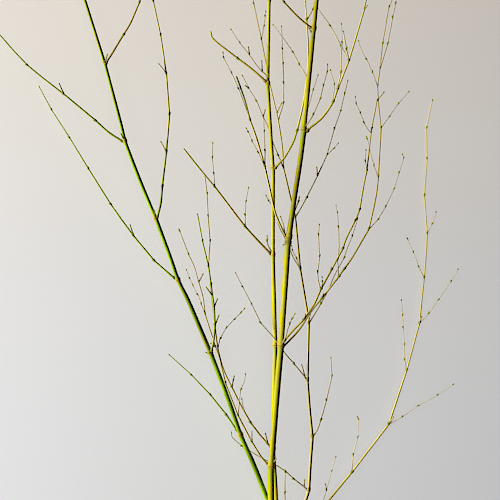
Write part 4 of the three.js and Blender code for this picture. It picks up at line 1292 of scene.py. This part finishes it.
class SprigColours(bpy.types.PropertyGroup):
    """Colours of the skins and of what stands round their nodes."""

    yellow: colour_field("Yellow Culm", "Skin of the culm and back cane", 0.74, 0.68, 0.012)
    yellow_deep: colour_field("Yellow Culm, Deep", "Grain and blotches of the culm", 0.54, 0.43, 0.010)
    yellow_twig: colour_field("Yellow Culm, Twig", "Fine twigs of the culm", 0.59, 0.51, 0.42)
    green: colour_field("Green Cane", "Skin of the green cane", 0.38, 0.62, 0.008)
    green_deep: colour_field("Green Cane, Deep", "Grain and blotches of the green cane", 0.13, 0.26, 0.006)
    green_twig: colour_field("Green Cane, Twig", "Fine twigs of the green cane", 0.34, 0.36, 0.10)
    olive: colour_field("Olive Branch", "Skin of the green cane's branches", 0.47, 0.60, 0.08)
    olive_deep: colour_field("Olive Branch, Deep", "Grain and blotches of those branches", 0.22, 0.30, 0.03)
    olive_twig: colour_field("Olive Branch, Twig", "Fine twigs of those branches", 0.36, 0.38, 0.12)
    golden: colour_field("Golden Cane", "Skin of the golden branches", 0.98, 0.82, 0.22)
    golden_deep: colour_field("Golden Cane, Deep", "Grain and blotches of those branches", 0.78, 0.58, 0.12)
    golden_twig: colour_field("Golden Cane, Twig", "Fine twigs of those branches", 0.92, 0.78, 0.46)
    brown: colour_field("Brown Branch", "Skin of the brown branches", 0.68, 0.52, 0.17)
    brown_deep: colour_field("Brown Branch, Deep", "Grain and blotches of those branches", 0.36, 0.23, 0.06)
    brown_twig: colour_field("Brown Branch, Twig", "Fine twigs of those branches", 0.72, 0.62, 0.47)
    tan: colour_field("Tan Twig", "Skin of the long dry twigs", 0.66, 0.54, 0.28)
    tan_deep: colour_field("Tan Twig, Deep", "Grain and blotches of the long dry twigs", 0.40, 0.29, 0.12)
    tan_twig: colour_field("Tan Twig, Fine", "Fine parts of the long dry twigs", 0.64, 0.54, 0.36)
    flush: colour_field("Green Flush", "Where a yellow skin is still green", 0.42, 0.62, 0.03)
    yellow_flush: colour_field("Yellow Flush", "Where the green cane turns yellow", 0.55, 0.44, 0.02)
    twig_node: colour_field("Twig Node", "Nodes of branches and twigs", 0.26, 0.33, 0.05)
    below: colour_field("Below a Node", "Wax and green just below a node", 0.36, 0.50, 0.05)
    ridge: colour_field("Ridge", "Swelling at a node", 0.66, 0.48, 0.05)
    scar: colour_field("Scar", "Rim that a sheath left", 0.66, 0.49, 0.05)
    # Partly the foot's own sheath remnants, partly painted shade where the branch meets its parent.
    collar: colour_field("Collar", "Foot of a branch", 0.19, 0.19, 0.02)
    # Also the colour of the flecks. Between scar and ridge it is partly the node's own dark line, partly
    # painted shade in the groove.
    line: colour_field("Line", "Dark line between scar and ridge", 0.035, 0.02, 0.004)
    bud: colour_field("Bud", "Scales of the buds", 0.29, 0.29, 0.06)
    bud_green: colour_field("Bud, Fresh", "Scales of the buds that are still green", 0.42, 0.54, 0.06)
    cut: colour_field("Cut Face", "Sawn end of the culm", 0.72, 0.60, 0.36)


class SprigStage(bpy.types.PropertyGroup):
    """Light and ground."""

    key_power: power_field("Key Power", "Power of the soft light from the left", 125)
    key_rise: angle_field("Key Rise", "Height of that light over the surface", 27)
    key_turn: angle_field("Key Turn", "How far that light stands towards the butt", 0)
    side_power: power_field("Side Power", "Power of the lower light from the left", 130)
    side_rise: angle_field("Side Rise", "Height of that light over the surface", 15)
    side_turn: angle_field("Side Turn", "How far that light stands towards the butt", 16)
    fill_power: power_field("Fill Power", "Power of the weak light from the right", 1)
    top_power: power_field("Top Power", "Power of the light over the ground", 20)
    even_power: power_field("Even Power", "Power of the shadowless light over the ground", 112)
    ambient: number_field("Ambient", "Strength of the light from all round", 0.04)
    backdrop: number_field("Backdrop", "Brightness behind the ground", 0.5)
    crispness: number_field("Crispness", "Share of sharpening in the picture", 0.07)
    ground: colour_field("Ground", "Colour of the pale ground", 0.79, 0.79, 0.79)
    # Painted warm light on the ground beyond the tips.
    ground_warm_light: colour_field("Ground, Warm", "Colour of the ground beyond the tips", 0.82, 0.76, 0.69)


# The picture's frame: its width in plan units at the plan's level, and the camera's sensor in mm.
VIEW_WIDTH = 500
SENSOR_WIDTH = 36
FAR_CLIP = 20.0
GROUND_HALF = 4.0

# Pieces that stand highest or turn towards the light, which falls on them more steeply.
FRONT = (
    "main_culm", "back_cane", "low_branch", "main_right_branch_2b", "main_right_branch_4",
    "back_right_branch_3", "back_left_branch_4",
)
# Pieces that throw no shade, as in the photo: the canes, and a branch whose own twigs stand between it and
# the light.
SHADELESS = (*(spec["name"] for spec in CANES), "main_right_branch_4")

# Distance of the two lights from the left, then sizes of all lights and places of the others, in metres.
KEY_REACH = 2.6
KEY_SIZE = (2.4, 0.7)
FILL_SPOT, FILL_SIZE = (2.0, -0.3, 1.6), (1.5, 1.5)
TOP_SPOT, TOP_SIZE = (-0.5, 0.3, 3.3), (6.0, 6.0)
EVEN_SPOT, EVEN_SIZE = (-2.1, 0.0, 2.0), (2.6, 2.6)
AIR_COLOUR = (1.0, 0.985, 0.96, 1.0)

# The ground's fine tooth, how dark it gets, and the stretch along Y on which its colour turns warm, as
# painted warm light towards the tips.
TOOTH_SCALE = 260.0
TOOTH_COVER = 0.03
BLACK = (0.0, 0.0, 0.0, 1.0)
WARM_STRETCH = (-0.25, 0.45)
GROUND_ROUGH = 0.9
GROUND_GLOSS = 0.1
TOOTH_STRENGTH = 0.15
TOOTH_DEPTH = 0.3 * MM


def left_spot(rise, turn):
    """Where a light from the left stands: how high, and how far towards the butt."""
    level = KEY_REACH * math.cos(rise)
    return (-level * math.cos(turn), -level * math.sin(turn), KEY_REACH * math.sin(rise))


def soft_light(context, name, watts, spot, size, receivers, blockers=None):
    """An area light that faces the middle of the sprig and lights some pieces alone."""
    lamp = bpy.data.lights.new(name, "AREA")
    lamp.energy = watts
    lamp.shape = "RECTANGLE"
    lamp.size, lamp.size_y = size
    thing = bpy.data.objects.new(name, lamp)
    thing.location = spot
    thing.rotation_euler = (-Vector(spot)).to_track_quat("-Z", "Y").to_euler()
    context.collection.objects.link(thing)
    thing.light_linking.receiver_collection = receivers
    if blockers:
        thing.light_linking.blocker_collection = blockers


def gathered(name, things):
    collection = bpy.data.collections.new(name)
    for thing in things:
        collection.objects.link(thing)
    return collection


def light_up(context, stage, ground):
    """Lights for the sprig and others for the ground, each for its own pieces."""
    grown = [thing for thing in bpy.data.objects if thing.name.endswith(GROWN)]
    pieces = {piece.name.removesuffix(GROWN): piece for piece in grown}
    lit = gathered("sprig", grown)
    high = gathered("lit by key", [piece for name, piece in pieces.items() if name in FRONT])
    low = gathered("lit by side", [piece for name, piece in pieces.items() if name not in FRONT])
    shading = gathered("what those lights shade", [
        piece for name, piece in pieces.items() if name not in SHADELESS])
    floor = gathered("lit ground", [ground])
    key, side = left_spot(stage.key_rise, stage.key_turn), left_spot(stage.side_rise, stage.side_turn)
    soft_light(context, "key", stage.key_power, key, KEY_SIZE, high, shading)
    soft_light(context, "side", stage.side_power, side, KEY_SIZE, low, shading)
    soft_light(context, "fill", stage.fill_power, FILL_SPOT, FILL_SIZE, lit)
    soft_light(context, "top", stage.top_power, TOP_SPOT, TOP_SIZE, floor)
    soft_light(context, "even", stage.even_power, EVEN_SPOT, EVEN_SIZE, floor, floor)


def pale_ground(context, stage):
    """A pale sheet under the sprig that throws no light back on it."""
    material, graph, shader = new_material("Pale Ground")
    spot = graph.object_place()
    tooth = graph.noise(spot, TOOTH_SCALE)
    along = graph.add("ShaderNodeSeparateXYZ", {"Vector": spot}).outputs["Y"]
    # Painted warm light: the ground's colour turns warm towards the tips.
    tone = graph.mix(graph.ramp(along, *WARM_STRETCH), rgba(stage.ground), rgba(stage.ground_warm_light))
    graph.feed(shader["Base Color"], graph.mix(graph.times(tooth, TOOTH_COVER), tone, BLACK))
    shader["Roughness"].default_value = GROUND_ROUGH
    shader["Specular IOR Level"].default_value = GROUND_GLOSS
    graph.bump(shader, TOOTH_STRENGTH, TOOTH_DEPTH, tooth)

    corners = [(x * GROUND_HALF, y * GROUND_HALF, 0) for x, y in ((-1, -1), (1, -1), (1, 1), (-1, 1))]
    mesh = bpy.data.meshes.new("ground")
    mesh.from_pydata(corners, [], [(0, 1, 2, 3)])
    mesh.materials.append(material)
    ground = bpy.data.objects.new("ground", mesh)
    context.collection.objects.link(ground)
    ground.visible_diffuse = False
    ground.visible_glossy = False
    return ground


def studio(stage):
    """A faint light from all round, with a pale backdrop where the camera sees past the ground."""
    world = bpy.data.worlds.new("studio")
    world.use_nodes = True
    graph = Graph(world.node_tree)
    back = world.node_tree.nodes["Background"].inputs
    back["Color"].default_value = AIR_COLOUR
    seen = graph.add("ShaderNodeLightPath").outputs["Is Camera Ray"]
    graph.feed(back["Strength"], graph.math("MAXIMUM", graph.times(seen, stage.backdrop), stage.ambient))
    return world


def crisp_picture(scene, share):
    """A mild sharpening, so that the fine twigs stay clear in a small picture."""
    scene.use_nodes = True
    graph = Graph(scene.node_tree)
    scene.node_tree.nodes.clear()
    picture = graph.add("CompositorNodeRLayers").outputs["Image"]
    crisp = graph.add("CompositorNodeFilter", {"Fac": share, "Image": picture}, filter_type="SHARPEN")
    graph.add("CompositorNodeComposite", {"Image": crisp.outputs["Image"]})


def camera_above(context):
    """A camera at the eye, straight down, whose picture is as wide as the plan."""
    data = bpy.data.cameras.new("camera")
    data.sensor_width = SENSOR_WIDTH
    data.lens = SENSOR_WIDTH * (EYE_HEIGHT - PLAN_LEVEL) / (VIEW_WIDTH * PLAN_UNIT)
    data.clip_end = FAR_CLIP
    camera = bpy.data.objects.new("camera", data)
    camera.location = Vector((-ORIGIN_X, -ORIGIN_Y, EYE_HEIGHT)) * MM
    context.collection.objects.link(camera)
    context.scene.camera = camera


class SPRIG_OT_stage(bpy.types.Operator):
    """Lays out the pale ground, the soft studio light and the camera that looks straight down"""

    bl_idname = "sprig.stage"
    bl_label = "Stage"

    def execute(self, context):
        stage = context.scene.sprig_stage
        light_up(context, stage, pale_ground(context, stage))
        context.scene.world = studio(stage)
        context.scene.view_settings.view_transform = "Standard"
        crisp_picture(context.scene, stage.crispness)
        camera_above(context)
        return {"FINISHED"}


def grow_family(context, family):
    for spec in family:
        grow_piece(context, spec)
    return {"FINISHED"}


class SPRIG_OT_canes(bpy.types.Operator):
    """Grows the culm and the long canes that fork from it"""

    bl_idname = "sprig.canes"
    bl_label = "Canes"

    def execute(self, context):
        return grow_family(context, CANES)


class SPRIG_OT_main_branches(bpy.types.Operator):
    """Grows the branches of the main culm"""

    bl_idname = "sprig.main_branches"
    bl_label = "Branches of the Main Culm"

    def execute(self, context):
        return grow_family(context, MAIN_BRANCHES)


class SPRIG_OT_back_branches(bpy.types.Operator):
    """Grows the branches of the back cane"""

    bl_idname = "sprig.back_branches"
    bl_label = "Branches of the Back Cane"

    def execute(self, context):
        return grow_family(context, BACK_BRANCHES)


class SPRIG_OT_green_branches(bpy.types.Operator):
    """Grows the branches of the green cane"""

    bl_idname = "sprig.green_branches"
    bl_label = "Branches of the Green Cane"

    def execute(self, context):
        return grow_family(context, GREEN_BRANCHES)


class SPRIG_OT_right_twigs(bpy.types.Operator):
    """Grows the long twigs of the right cane"""

    bl_idname = "sprig.right_twigs"
    bl_label = "Twigs of the Right Cane"

    def execute(self, context):
        return grow_family(context, RIGHT_TWIGS)


OPERATORS = (
    SPRIG_OT_canes, SPRIG_OT_main_branches, SPRIG_OT_back_branches, SPRIG_OT_green_branches,
    SPRIG_OT_right_twigs, SPRIG_OT_stage,
)
GROUPS = {"sprig_sizes": SprigSizes, "sprig_colours": SprigColours, "sprig_stage": SprigStage}


class SPRIG_PT_panel(bpy.types.Panel):
    """Lists what the sprig is made of"""

    bl_idname = "SPRIG_PT_panel"
    bl_label = "Bamboo Sprig"
    bl_space_type = "VIEW_3D"
    bl_region_type = "UI"
    bl_category = "Sprig"

    def draw(self, context):
        for operator in OPERATORS:
            self.layout.operator(operator.bl_idname)
        for name, kind in GROUPS.items():
            box = self.layout.box()
            for key in kind.__annotations__:
                box.prop(getattr(context.scene, name), key)


CLASSES = (*GROUPS.values(), *OPERATORS, SPRIG_PT_panel)


def register():
    for kind in CLASSES:
        bpy.utils.register_class(kind)
    for name, kind in GROUPS.items():
        setattr(bpy.types.Scene, name, PointerProperty(type=kind))


def unregister():
    for name in GROUPS:
        delattr(bpy.types.Scene, name)
    for kind in reversed(CLASSES):
        bpy.utils.unregister_class(kind)


def main():
    register()
    bpy.ops.sprig.canes()
    bpy.ops.sprig.main_branches()
    bpy.ops.sprig.back_branches()
    bpy.ops.sprig.green_branches()
    bpy.ops.sprig.right_twigs()
    bpy.ops.sprig.stage()
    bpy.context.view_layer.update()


if __name__ == "__main__":
    main()
